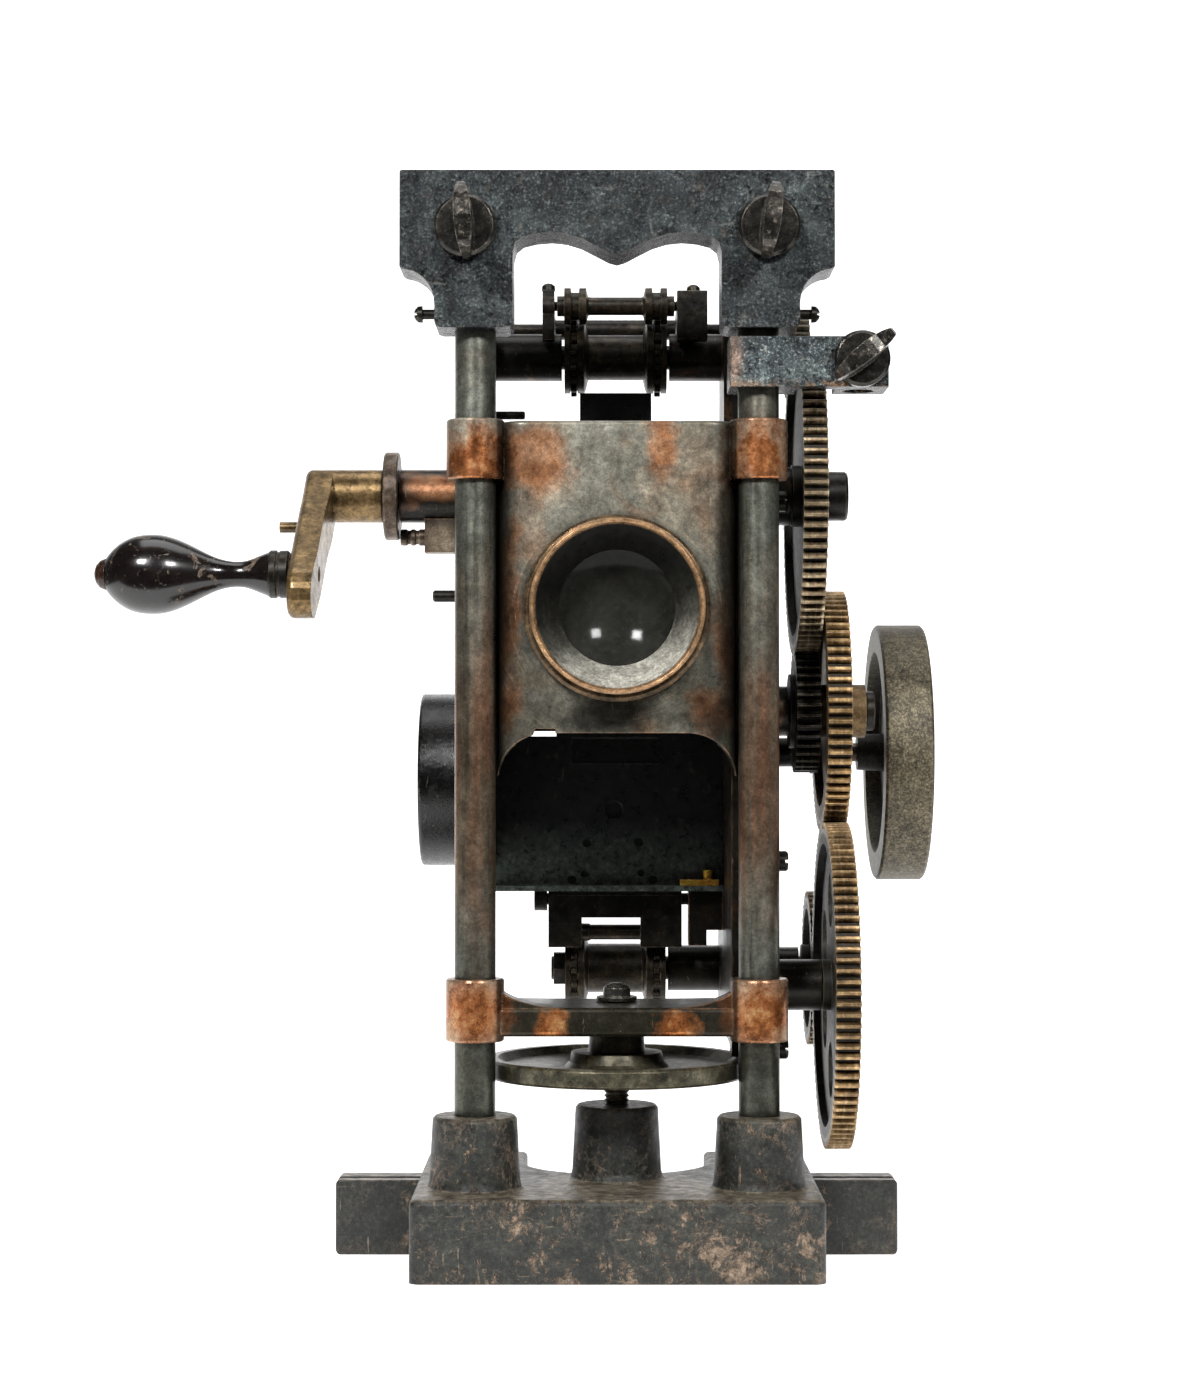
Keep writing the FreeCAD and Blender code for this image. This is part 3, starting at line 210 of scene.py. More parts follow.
def cast_black():
    """Black paint on cast iron: brown dust, tan rust chips, scratches, bare low edge."""
    t = Tree("base_paint")
    x, y, z = t.sep()
    big = t.noise(24, 4, 0.6)
    fine = t.noise(1.3, 5, 0.7)
    paint = t.ramp(big, (0.3, lin(20, 23, 21)), (0.55, lin(35, 38, 34)), (0.75, lin(54, 53, 45)))
    paint = t.mix(t.ramp(fine, (0.46, 0.0), (0.75, 0.4)), paint, lin(84, 78, 68))
    # chips: clusters of flaked paint, thicker low on the front
    low = t.remap(z, 15.0, 1.0)
    flake = t.noise(6.5, 12, 0.78, vec=t.stretch(1.0, 1.0, 0.72), warp=0.5)
    spread = t.noise(26, 2)
    where = t.math("ADD", flake, t.math("MULTIPLY_ADD", spread, 0.22, -0.11))
    where = t.math("ADD", where, t.math("MULTIPLY", low, 0.07))
    chip = t.ramp(where, (0.575, 0.0), (0.60, 1.0))
    chip2 = t.ramp(t.noise(2.4, 9, 0.78, vec=t.stretch(1.0, 1.0, 0.75), warp=0.5), (0.60, 0.0), (0.64, 0.8))
    crack = t.math("ABSOLUTE", t.math("SUBTRACT", t.noise(11, 9, 0.7, warp=0.5), 0.5))
    crack = t.math("MULTIPLY", t.ramp(crack, (0.0, 1.0), (0.022, 0.0)), t.ramp(t.noise(15, 3), (0.44, 0.0), (0.56, 1.0)))
    chips = t.most(chip, crack, t.math("MULTIPLY", chip2, t.ramp(spread, (0.4, 0.1), (0.6, 1.0))))
    side = t.remap(t.math("ABSOLUTE", x), 65.5, 68.5)
    chips = t.math("MULTIPLY", chips, t.math("MULTIPLY_ADD", side, -0.8, 1.0))
    paint = t.mix(t.math("MULTIPLY", side, 0.45), paint, lin(20, 22, 20))
    rust = t.ramp(t.noise(1.8, 6, 0.7), (0.3, lin(82, 68, 54)), (0.5, lin(114, 96, 79)), (0.72, lin(150, 131, 110)))
    col = t.mix(t.math("MULTIPLY", chips, 0.82), paint, rust)
    # long thin scratches, upright and slanting
    s1 = t.noise(1.5, 3, 0.5, vec=t.stretch(1.0, 0.2, 0.09), warp=0.3)
    s2 = t.noise(1.6, 3, 0.5, vec=t.stretch(0.16, 0.2, 1.0), warp=0.4)
    scr = t.most(t.ramp(s1, (0.70, 0.0), (0.73, 0.5)), t.ramp(s2, (0.69, 0.0), (0.74, 0.4)))
    col = t.mix(scr, col, lin(150, 132, 108))
    # brown dust lies on what faces up
    up = t.remap(t.normal_z(), 0.55, 0.95)
    dust = t.ramp(t.noise(3.5, 7, 0.7), (0.3, lin(72, 65, 53)), (0.55, lin(116, 106, 90)), (0.8, lin(152, 140, 120)))
    col = t.mix(t.math("MULTIPLY", up, 0.8), col, dust)
    e, nb = t.edges(1.1, 2.2)
    worn = t.math("MULTIPLY", e, t.ramp(t.noise(4, 5), (0.40, 0.05), (0.62, 1.0)))
    col = t.mix(worn, col, lin(146, 128, 104))
    rough = t.remap(t.noise(3, 4), 0.3, 0.7, 0.30, 0.54)
    h = t.math("ADD", t.math("MULTIPLY", t.noise(2.0, 6, 0.7), 0.6), t.math("MULTIPLY", chips, -0.5))
    return t.finish(col, rough, 0.0, t.bump(h, 0.6, 0.6, nb), 0.45, grit=0.95)


def gunmetal(name, tone=1.0, pits=1.0, tan_at=None):
    """Blue-black pitted iron, scratched, with light worn edges."""
    t = Tree(name)
    big = t.noise(15, 6, 0.66, warp=0.3)
    k = lambda r, g, b: lin(r * tone, g * tone, b * tone)
    col = t.ramp(big, (0.34, k(28, 32, 35)), (0.5, k(52, 59, 62)), (0.66, k(88, 97, 97)))
    speck = t.noise(0.9, 6, 0.75)
    col = t.mix(t.ramp(speck, (0.54, 0.0), (0.64, 0.85)), col, k(150, 160, 156))
    tan = t.ramp(t.noise(1.3, 8, 0.78), (0.60, 0.0), (0.66, 0.7))
    col = t.mix(tan, col, k(140, 118, 94))
    dark = t.ramp(t.noise(1.9, 6, 0.72, warp=0.4), (0.30, 1.0), (0.40, 0.0))
    col = t.mix(t.math("MULTIPLY", dark, 0.85 * pits), col, lin(20, 21, 21))
    s1 = t.noise(1.3, 3, 0.5, vec=t.stretch(0.12, 0.3, 0.9), warp=0.5)
    s2 = t.noise(1.3, 3, 0.5, vec=t.stretch(0.8, 0.3, 0.14), warp=0.5)
    scr = t.most(t.ramp(s1, (0.66, 0.0), (0.71, 0.6)), t.ramp(s2, (0.67, 0.0), (0.72, 0.5)))
    col = t.mix(scr, col, k(150, 152, 144))
    rust = t.ramp(t.noise(8, 7, 0.72), (0.60, 0.0), (0.68, 0.6))
    col = t.mix(rust, col, lin(84, 70, 56))
    if tan_at:
        col = t.mix(t.math("MULTIPLY", t.spot(*tan_at), 0.85), col, t.ramp(t.noise(2.0, 6, 0.7), (0.3, lin(110, 88, 74)), (0.7, lin(168, 142, 124))))
        low = t.math("MULTIPLY", t.remap(t.sep()[2], 273.2, 271.4), t.ramp(t.noise(3.5, 5), (0.42, 0.0), (0.6, 0.9)))
        col = t.mix(low, col, lin(138, 108, 82))
    e, nb = t.edges(0.8, 3.0)
    worn = t.math("MULTIPLY", e, t.ramp(t.noise(2.4, 6, 0.7), (0.48, 0.0), (0.62, 0.9)))
    col = t.mix(worn, col, lin(150, 146, 136))
    # painted shade: faces that look down are darkened towards black
    under = t.math("MULTIPLY", t.remap(t.normal_z(), -0.25, -0.75), 0.85)
    col = t.mix(under, col, lin(14, 14, 14))
    rough = t.math("ADD", t.remap(speck, 0.3, 0.7, 0.18, 0.36), t.math("MULTIPLY", rust, 0.25))
    lumps = t.math("ADD", t.math("MULTIPLY", t.noise(7, 3, 0.5), 1.2), t.math("MULTIPLY", t.noise(1.8, 6, 0.72), 0.6))
    h = t.math("SUBTRACT", lumps, t.math("MULTIPLY", dark, 0.5))
    return t.finish(col, rough, 0.4, t.bump(h, 1.0, 1.0, nb), 0.35, grit=1.0)


def post_steel():
    """Browned steel post: grey-green at the ends, copper brown at mid height, fine drag marks."""
    t = Tree("post_browned")
    x, y, z = t.sep()
    n = t.noise(12, 6, 0.66, vec=t.stretch(1, 1, 0.4))
    green = t.ramp(n, (0.3, lin(92, 96, 88)), (0.55, lin(138, 141, 130)), (0.75, lin(178, 178, 166)))
    brown = t.ramp(n, (0.3, lin(88, 74, 59)), (0.55, lin(138, 121, 101)), (0.75, lin(178, 156, 132)))
    midz = t.math("SUBTRACT", t.remap(z, 96.0, 128.0), t.remap(z, 160.0, 226.0))
    midz = t.math("ADD", midz, t.math("MULTIPLY_ADD", t.noise(26, 5), 2.0, -1.0), clamp=True)
    col = t.mix(midz, green, brown)
    streak = t.noise(5.0, 4, 0.6, vec=t.stretch(1, 1, 0.06), warp=0.2)
    col = t.mix(t.math("MULTIPLY", t.ramp(streak, (0.48, 0.0), (0.60, 0.6)), midz), col, lin(152, 104, 76))
    col = t.mix(t.ramp(streak, (0.36, 0.6), (0.47, 0.0)), col, lin(62, 56, 44))
    drag = t.noise(0.7, 4, 0.65, vec=t.stretch(1, 1, 0.05))
    col = t.mix(t.ramp(drag, (0.5, 0.0), (0.75, 0.4)), col, lin(146, 138, 120))
    fleck = t.ramp(t.noise(0.9, 6, 0.78), (0.58, 0.0), (0.68, 0.7))
    col = t.mix(fleck, col, lin(40, 34, 26))
    col = t.mix(t.remap(z, 112.0, 66.0, 0.0, 0.72), col, lin(48, 50, 42))
    rough = t.remap(t.noise(5, 5), 0.3, 0.7, 0.26, 0.40)
    return t.finish(col, rough, 0.82, t.bump(t.noise(0.7, 4, 0.6), 0.22, 0.14), 0.5, grit=0.45)


def copper_plate(name, patches, ground="grey", strength=1.0, dark=(), pale=(), bright=()):
    """Oxidised copper: grey-green and brown, with warm copper showing through in soft patches."""
    t = Tree(name)
    x, y, z = t.sep()
    n = t.noise(24, 4, 0.55, warp=0.6)
    f = t.noise(0.8, 5, 0.7)
    if ground == "grey":
        col = t.ramp(n, (0.28, lin(108, 106, 91)), (0.44, lin(143, 141, 126)), (0.58, lin(163, 161, 147)), (0.74, lin(150, 138, 115)))
    else:
        col = t.ramp(n, (0.26, lin(13, 12, 9)), (0.5, lin(24, 22, 16)), (0.75, lin(46, 39, 29)))
    warm = t.ramp(t.noise(9, 4, 0.6), (0.28, lin(134, 84, 52)), (0.50, lin(184, 128, 88)), (0.74, lin(214, 168, 130)))
    m = None
    for p in patches:
        q = t.spot(*p)
        m = q if m is None else t.most(m, q)
    blot = t.math("MULTIPLY", t.ramp(t.noise(19, 5, 0.6, warp=0.8), (0.55, 0.0), (0.72, 0.45)), t.remap(z, 96.0, 120.0))
    m = blot if m is None else t.most(m, blot)
    if ground == "grey":
        # the bar at the foot has gone dark olive
        foot = t.math("MULTIPLY", t.remap(z, 91.0, 86.0), t.remap(t.math("ABSOLUTE", x), 35.6, 34.8))
        col = t.mix(foot, col, t.ramp(n, (0.3, lin(28, 27, 19)), (0.6, lin(46, 43, 31)), (0.8, lin(66, 61, 45))))
    for p in pale:
        col = t.mix(t.math("MULTIPLY", t.spot(*p), 0.7), col, t.ramp(t.noise(7, 5, 0.6), (0.3, lin(146, 126, 104)), (0.6, lin(186, 168, 144)), (0.8, lin(212, 196, 172))))
    col = t.mix(t.math("MULTIPLY", m, strength), col, warm)
    shine = None
    for p in bright:
        q = t.spot(*p)
        shine = q if shine is None else t.most(shine, q)
        col = t.mix(t.math("MULTIPLY", q, 0.95), col, t.ramp(t.noise(6, 6, 0.65), (0.28, lin(142, 76, 38)), (0.5, lin(208, 128, 72)), (0.75, lin(238, 178, 120))))
    # painted shade, darker low down as if lit from above; tarnish blotches, fine specks
    if ground == "grey":
        col = t.mix(t.math("MULTIPLY", t.remap(z, 258.0, 160.0, 0.0, 0.40), t.remap(z, 92.0, 100.0)), col, lin(48, 44, 33))
        # painted shade along both side edges of the plate, beside the posts
        post_side_shade = t.remap(t.math("ADD", t.math("ABSOLUTE", x), t.math("MULTIPLY_ADD", t.noise(14, 4), 10.0, -5.0)), 21.0, 36.5, 0.0, 0.72)
        col = t.mix(t.math("MULTIPLY", post_side_shade, t.remap(t.math("ABSOLUTE", x), 37.2, 36.6)), col, lin(34, 29, 22))
        # fine arcs rubbed into the plate round the lens
        dz = t.math("SUBTRACT", z, 201.6)
        r = t.math("SQRT", t.math("ADD", t.math("MULTIPLY", x, x), t.math("MULTIPLY", dz, dz)))
        polar = t.t.nodes.new("ShaderNodeCombineXYZ")
        t.put(polar.inputs[0], r)
        t.put(polar.inputs[1], t.math("MULTIPLY", t.math("ARCTAN2", dz, x), 2.0))
        arc = t.noise(0.9, 4, 0.65, vec=polar.outputs[0])
        near = t.math("MULTIPLY", t.remap(r, 22.0, 25.0), t.remap(r, 48.0, 30.0))
        near = t.math("MULTIPLY", near, t.remap(t.noise(14, 3), 0.4, 0.6))
        col = t.mix(t.math("MULTIPLY", near, t.ramp(arc, (0.55, 0.0), (0.66, 0.55))), col, lin(186, 160, 130))
        col = t.mix(t.math("MULTIPLY", near, t.ramp(arc, (0.34, 0.6), (0.45, 0.0))), col, lin(56, 50, 40))
    tar = t.ramp(t.noise(10, 6, 0.66, warp=0.5), (0.55, 0.0), (0.70, 0.5))
    col = t.mix(tar, col, lin(44, 42, 33))
    # dark patches; on the lens plate these are painted shade
    for p in dark:
        col = t.mix(t.math("MULTIPLY", t.spot(*p), 0.8), col, lin(24, 21, 17))
    col = t.mix(t.ramp(f, (0.58, 0.0), (0.72, 0.55)), col, lin(40, 37, 29))
    col = t.mix(t.ramp(t.noise(0.7, 5, 0.75, vec=t.stretch(1.0, 1.0, 1.3)), (0.62, 0.0), (0.74, 0.55)), col, lin(176, 164, 142))
    scr = t.noise(1.1, 3, 0.5, vec=t.stretch(0.9, 0.5, 0.12), warp=0.6)
    col = t.mix(t.ramp(scr, (0.69, 0.0), (0.73, 0.4)), col, lin(168, 154, 132))
    e, nb = t.edges(0.8, 2.8)
    worn = t.math("MULTIPLY", e, t.ramp(t.noise(4, 5), (0.40, 0.15), (0.60, 1.0)))
    col = t.mix(worn, col, lin(190, 140, 100))
    rough = t.math("ADD", t.remap(t.noise(6, 5), 0.3, 0.7, 0.26, 0.40), t.math("MULTIPLY", tar, 0.15))
    h = t.math("ADD", t.math("MULTIPLY", t.noise(2.4, 5, 0.65), 0.7), t.math("MULTIPLY", f, 0.3))
    metal = 0.5
    if shine is not None:
        metal = t.remap(shine, 0.0, 1.0, 0.5, 0.8)
        rough = t.math("SUBTRACT", rough, t.math("MULTIPLY", shine, 0.06))
    return t.finish(col, rough, metal, t.bump(h, 0.25, 0.25, nb), 0.5, grit=0.5)


def dark_steel(name, a, b, c, edge=(150, 138, 116), metal=0.5, rust=0.35, rough=(0.26, 0.46), grain=None, wing=None):
    """Browned or blued steel with rust freckles and bright rubbed edges."""
    t = Tree(name)
    vec = t.stretch(*grain) if grain else None
    n = t.noise(7, 5, 0.62, vec=vec, warp=0.3)
    col = t.ramp(n, (0.3, lin(*a)), (0.5, lin(*b)), (0.72, lin(*c)))
    fr = t.ramp(t.noise(1.7, 6, 0.72), (0.58, 0.0), (0.68, 1.0))
    col = t.mix(t.math("MULTIPLY", fr, rust), col, lin(104, 76, 52))
    pit = t.ramp(t.noise(0.7, 4, 0.7), (0.64, 0.0), (0.72, 0.7))
    col = t.mix(pit, col, lin(22, 21, 18))
    e, nb = t.edges(0.5, 3.2)
    worn = t.math("MULTIPLY", e, t.ramp(t.noise(2.6, 4), (0.38, 0.2), (0.6, 1.0)))
    col = t.mix(worn, col, lin(*edge))
    if wing is not None:
        # pale rubbed marks on the front of the wing: partly wear, partly a painted highlight for the glints along the
        # wing
        rub = t.math("MULTIPLY", t.remap(t.sep()[1], wing, wing - 8.0), t.ramp(t.noise(1.8, 6, 0.72), (0.53, 0.0), (0.64, 0.7)))
        col = t.mix(rub, col, lin(170, 160, 146))
    r = t.remap(t.noise(2.2, 5), 0.3, 0.7, rough[0], rough[1])
    return t.finish(col, r, metal, t.bump(t.noise(0.9, 5, 0.7), 0.28, 0.15, nb), 0.5)


def black_paint(name, scuff=0.25, tone=1.0, painted_sheen_band=None, rough=(0.28, 0.44), lumps=0.2):
    """Satin black paint on sheet or cast metal with grey rubs."""
    t = Tree(name)
    k = lambda r, g, b: lin(r * tone, g * tone, b * tone)
    n = t.noise(12, 5, 0.62)
    col = t.ramp(n, (0.3, k(12, 14, 14)), (0.6, k(20, 22, 23)), (0.8, k(32, 34, 34)))
    rub = t.ramp(t.noise(5.5, 8, 0.74, warp=0.4), (0.58, 0.0), (0.70, scuff))
    col = t.mix(rub, col, lin(92, 90, 82))
    if painted_sheen_band:
        # painted sheen: a pale grey-green band low on the gate, lighter towards the bottom
        pale = t.math("MULTIPLY", t.remap(t.sep()[2], *painted_sheen_band), t.remap(t.noise(3.0, 8, 0.75), 0.3, 0.7, 0.25, 0.95))
        col = t.mix(pale, col, lin(116, 128, 120))
        # painted shade: the drilled holes are made near black inside
        y = t.sep()[1]
        hole = t.math("MULTIPLY", t.remap(y, 77.2, 77.8), t.remap(y, 79.3, 78.9))
        col = t.mix(hole, col, lin(3, 3, 3))
    line = t.ramp(t.noise(1.4, 3, 0.5, vec=t.stretch(1.0, 1.0, 0.10), warp=0.3), (0.68, 0.0), (0.72, scuff))
    col = t.mix(line, col, lin(106, 102, 92))
    e, nb = t.edges(0.5, 3.0)
    worn = t.math("MULTIPLY", e, t.ramp(t.noise(3.0, 5), (0.46, 0.05), (0.64, 0.8)))
    col = t.mix(worn, col, lin(116, 108, 92))
    r = t.remap(t.noise(3, 5), 0.3, 0.7, *rough)
    return t.finish(col, r, 0.0, t.bump(t.noise(0.9, 5, 0.65), lumps, 0.2, nb), 0.5)


def aged_brass(name, tone=1.0, dark=0.45, rough=(0.22, 0.38), pin=None, tint=None):
    """Old speckled brass with brown tarnish."""
    t = Tree(name)
    k = lambda r, g, b: lin(min(255, r * tone), min(255, g * tone), min(255, b * tone))
    n = t.noise(6, 5, 0.6, warp=0.3)
    col = t.ramp(n, (0.28, k(114, 90, 56)), (0.5, k(158, 129, 85)), (0.74, k(198, 165, 114)))
    tar = t.ramp(t.noise(2.6, 7, 0.74, warp=0.5), (0.54, 0.0), (0.66, 1.0))
    col = t.mix(t.math("MULTIPLY", tar, dark), col, lin(84, 64, 40))
    sp = t.ramp(t.noise(0.55, 4, 0.7), (0.60, 0.0), (0.70, 0.8))
    col = t.mix(t.math("MULTIPLY", sp, dark + 0.2), col, lin(62, 46, 28))
    e, nb = t.edges(0.6, 2.6)
    col = t.mix(t.math("MULTIPLY", e, 0.6), col, lin(206, 182, 138))
    if pin:
        col = t.mix(t.spot(*pin), col, lin(40, 34, 28))
    if tint:
        col = t.mix(0.8, col, lin(*tint), "OVERLAY")
    r = t.remap(t.noise(2.4, 5), 0.3, 0.7, rough[0], rough[1])
    return t.finish(col, r, 0.7, t.bump(t.noise(0.8, 5, 0.7), 0.26, 0.14, nb), 0.5)


def gear_teeth(name, centre, root_r, teeth_rgb, web_rgb, web_metal=0.5):
    """A gear: bright rubbed teeth outside root_r, darker grimy web inside, painted shade between the teeth."""
    t = Tree(name)
    x, y, z = t.sep()
    dy = t.math("SUBTRACT", y, centre[0])
    dz = t.math("SUBTRACT", z, centre[1])
    r = t.math("SQRT", t.math("ADD", t.math("MULTIPLY", dy, dy), t.math("MULTIPLY", dz, dz)))
    n = t.noise(5, 5, 0.65, warp=0.3)
    a, b, c = teeth_rgb
    tooth = t.ramp(n, (0.28, lin(*a)), (0.52, lin(*b)), (0.75, lin(*c)))
    # rubbed bands across the face width
    band = t.noise(1.1, 3, 0.5, vec=t.stretch(1.0, 0.05, 0.05))
    tooth = t.mix(t.ramp(band, (0.52, 0.0), (0.72, 0.45)), tooth, lin(*[min(255, v + 34) for v in c]))
    # painted shade down in the gaps between teeth
    tooth_gap_shade = t.remap(r, root_r + 1.1, root_r + 0.1)
    tooth = t.mix(t.math("MULTIPLY", tooth_gap_shade, 0.95), tooth, lin(14, 10, 6))
    a, b, c = web_rgb
    web = t.ramp(t.noise(9, 6, 0.66, warp=0.5), (0.28, lin(*a)), (0.52, lin(*b)), (0.75, lin(*c)))
    web = t.mix(t.ramp(t.noise(1.2, 5, 0.7), (0.60, 0.0), (0.70, 0.6)), web, lin(104, 80, 54))
    inner = t.remap(r, root_r - 0.8, root_r - 1.6)
    col = t.mix(inner, tooth, web)
    e, nb = t.edges(0.35, 3.0)
    col = t.mix(t.math("MULTIPLY", e, 0.75), col, lin(216, 198, 166))
    rough = t.math("ADD", t.remap(t.noise(2.2, 4), 0.3, 0.7, 0.30, 0.46), t.math("MULTIPLY", inner, 0.12))
    metal = t.remap(inner, 0.0, 1.0, 0.6, web_metal * 0.7)
    return t.finish(col, rough, metal, t.bump(t.noise(0.8, 4, 0.65), 0.2, 0.12, nb), 0.5)


def grey_iron():
    """Flywheel: dull turned grey iron with brown speckle."""
    t = Tree("flywheel_iron")
    f = t.noise(0.75, 7, 0.8)
    col = t.ramp(f, (0.34, lin(54, 47, 34)), (0.5, lin(94, 86, 67)), (0.68, lin(142, 132, 108)))
    col = t.mix(t.ramp(t.noise(14, 5, 0.6), (0.4, 0.0), (0.7, 0.5)), col, lin(80, 74, 60))
    fr = t.ramp(t.noise(2.0, 7, 0.75), (0.58, 0.0), (0.66, 0.55))
    col = t.mix(fr, col, lin(50, 42, 31))
    x, y, z = t.sep()
    dy = t.math("SUBTRACT", y, 88.4)
    dz = t.math("SUBTRACT", z, 158.74)
    r = t.math("SQRT", t.math("ADD", t.math("MULTIPLY", dy, dy), t.math("MULTIPLY", dz, dz)))
    inner = t.remap(r, 34.5, 33.0)
    col = t.mix(t.math("MULTIPLY", inner, 0.85), col, lin(24, 24, 22))
    e, nb = t.edges(0.7, 2.6)
    col = t.mix(t.math("MULTIPLY", e, 0.6), col, lin(150, 143, 126))
    return t.finish(col, t.remap(f, 0.3, 0.7, 0.40, 0.56), 0.4, t.bump(f, 0.4, 0.25, nb), 0.5, grit=0.9)


def handle_wood():
    """Black-brown lacquered wood, glossy, chipped to grey-brown, lathe marks under the lacquer."""
    t = Tree("handle_lacquer")
    grain = t.noise(2.0, 5, 0.6, vec=t.stretch(0.12, 1, 1), warp=0.5)
    col = t.ramp(grain, (0.3, lin(11, 8, 7)), (0.55, lin(19, 14, 12)), (0.8, lin(38, 27, 22)))
    chip = t.ramp(t.noise(5.5, 7, 0.72, warp=0.9), (0.60, 0.0), (0.635, 1.0))
    chip_s = t.ramp(t.noise(1.3, 5, 0.7), (0.66, 0.0), (0.70, 0.8))
    chips = t.most(chip, chip_s)
    col = t.mix(t.math("MULTIPLY", chips, 0.7), col, t.ramp(t.noise(1.5, 4), (0.3, lin(82, 66, 54)), (0.7, lin(140, 120, 100))))
    rough = t.math("ADD", t.remap(t.noise(9, 4), 0.3, 0.7, 0.14, 0.28), t.math("MULTIPLY", chips, 0.35))
    h = t.math("SUBTRACT", t.math("MULTIPLY", t.noise(6, 3), 0.4), t.math("MULTIPLY", chips, 0.5))
    return t.finish(col, rough, 0.0, t.bump(h, 0.2, 0.2), 0.45, 0.35, 0.11)


def lens_metal(name, inside=False):
    """Lens brass gone brown-green, rubbed bright at the rim; the inside is blackened, with painted shade at its top and
    painted light at its bottom.
    """
    t = Tree(name)
    x, y, z = t.sep()
    n = t.noise(7, 6, 0.68)
    col = t.ramp(n, (0.3, lin(58, 48, 35)), (0.52, lin(92, 75, 54)), (0.75, lin(132, 106, 76)))
    col = t.mix(t.ramp(t.noise(1.2, 7, 0.76), (0.54, 0.0), (0.66, 0.7)), col, lin(44, 39, 30))
    e, nb = t.edges(0.6, 3.2)
    dx = t.math("MULTIPLY", x, x)
    dz = t.math("SUBTRACT", z, 203.0)
    r = t.math("SQRT", t.math("ADD", dx, t.math("MULTIPLY", dz, dz)))
    black = t.ramp(t.noise(3, 6, 0.7), (0.3, lin(150, 150, 144)), (0.6, lin(205, 204, 198)), (0.8, lin(245, 243, 236)))
    if inside:
        hole = t.remap(r, 25.0, 24.6)
        bead = t.math("MULTIPLY", t.remap(r, 24.6, 25.0), t.remap(y, -18.4, -19.4))
        col = t.mix(t.math("MULTIPLY", bead, t.ramp(t.noise(9, 4, 0.6), (0.34, 0.55), (0.56, 1.0))), col, lin(192, 152, 112))
        # painted light and shade inside the funnel: dark at the top, pale at the bottom, as if lit from above
        low = t.remap(t.math("ADD", z, t.math("MULTIPLY", x, -0.25)), 214.0, 184.0)
        funnel_painted_shading = t.ramp(low, (0.0, lin(16, 16, 14)), (0.35, lin(44, 44, 40)), (0.62, lin(86, 85, 78)), (1.0, lin(196, 193, 182)))
        col = t.mix(hole, col, t.mix(0.5, funnel_painted_shading, black, "MULTIPLY"))
        metal = t.remap(hole, 0.0, 1.0, 0.65, 0.0)
        worn = t.math("MULTIPLY", e, t.remap(r, 20.0, 24.0, 0.25, 1.0))
    else:
        metal = 0.55
        worn = e
    col = t.mix(t.math("MULTIPLY", worn, 0.7), col, lin(196, 154, 110))
    rough = t.remap(t.noise(2.5, 5), 0.3, 0.7, 0.26, 0.42)
    return t.finish(col, rough, metal, t.bump(t.noise(1.0, 5, 0.7), 0.22, 0.14, nb), 0.5)


def lens_glass():
    """Dark, dusty old glass: little of what is behind it shows."""
    t = Tree("lens_glass")
    dust = t.ramp(t.noise(2.2, 6, 0.75), (0.5, 0.0), (0.8, 1.0))
    film = t.ramp(t.noise(9, 5, 0.6), (0.35, lin(36, 36, 33)), (0.65, lin(50, 50, 46)))
    b = t.bsdf
    t.put(b.inputs["Base Color"], t.mix(t.math("MULTIPLY", dust, 0.4), film, lin(76, 74, 68)))
    t.put(b.inputs["Roughness"], t.math("MULTIPLY_ADD", dust, 0.08, 0.10))
    b.inputs["Specular IOR Level"].default_value = 0.07
    b.inputs["Transmission Weight"].default_value = 0.12
    b.inputs["IOR"].default_value = 1.5
    return t.mat


PLATE_WARM = [(-27, -5, 249, 11, 14, 13, 0.9, 11), (-33, -4, 205, 5, 14, 24, 0.9, 10), (14, -5, 252, 6, 14, 12, 0.9, 10),
              (33, -4, 194, 5, 14, 16, 0.9, 9), (30, -3, 172, 10, 16, 9, 0.9, 9), (-34, 0, 174, 6, 14, 8, 0.9, 8)]
PLATE_PALE = [(-21, -5, 246, 12, 14, 16, 0.9, 12), (17, -5, 246, 13, 14, 16, 0.9, 10), (29, -5, 240, 9, 14, 20, 0.9, 9), (-28, -5, 226, 8, 14, 14, 0.9, 9)]
# painted shade patches: under the lens flange and along the plate edges beside the posts, plus a dark patch low on the
# right
PLATE_SHADE = [(30, -4, 168, 10, 16, 10, 0.9, 8), (-4, -5, 170, 16, 14, 9, 0.9, 9), (34, 0, 215, 4, 14, 60, 0.6, 9), (-35, 0, 225, 3.5, 14, 50, 0.6, 9)]
COLLAR_BRIGHT = [(-44, 0, 248, 12, 34, 13, 0.6, 6), (44, 0, 249, 12, 34, 15, 0.6, 6), (-44, 0, 79, 12, 34, 14, 0.3, 6),
                 (44, 0, 79, 12, 34, 14, 0.3, 6), (-20, -4, 74.5, 5.4, 12, 5.4, 0.6, 5), (18.5, -4, 74.5, 7.4, 12, 5.4, 0.6, 5)]
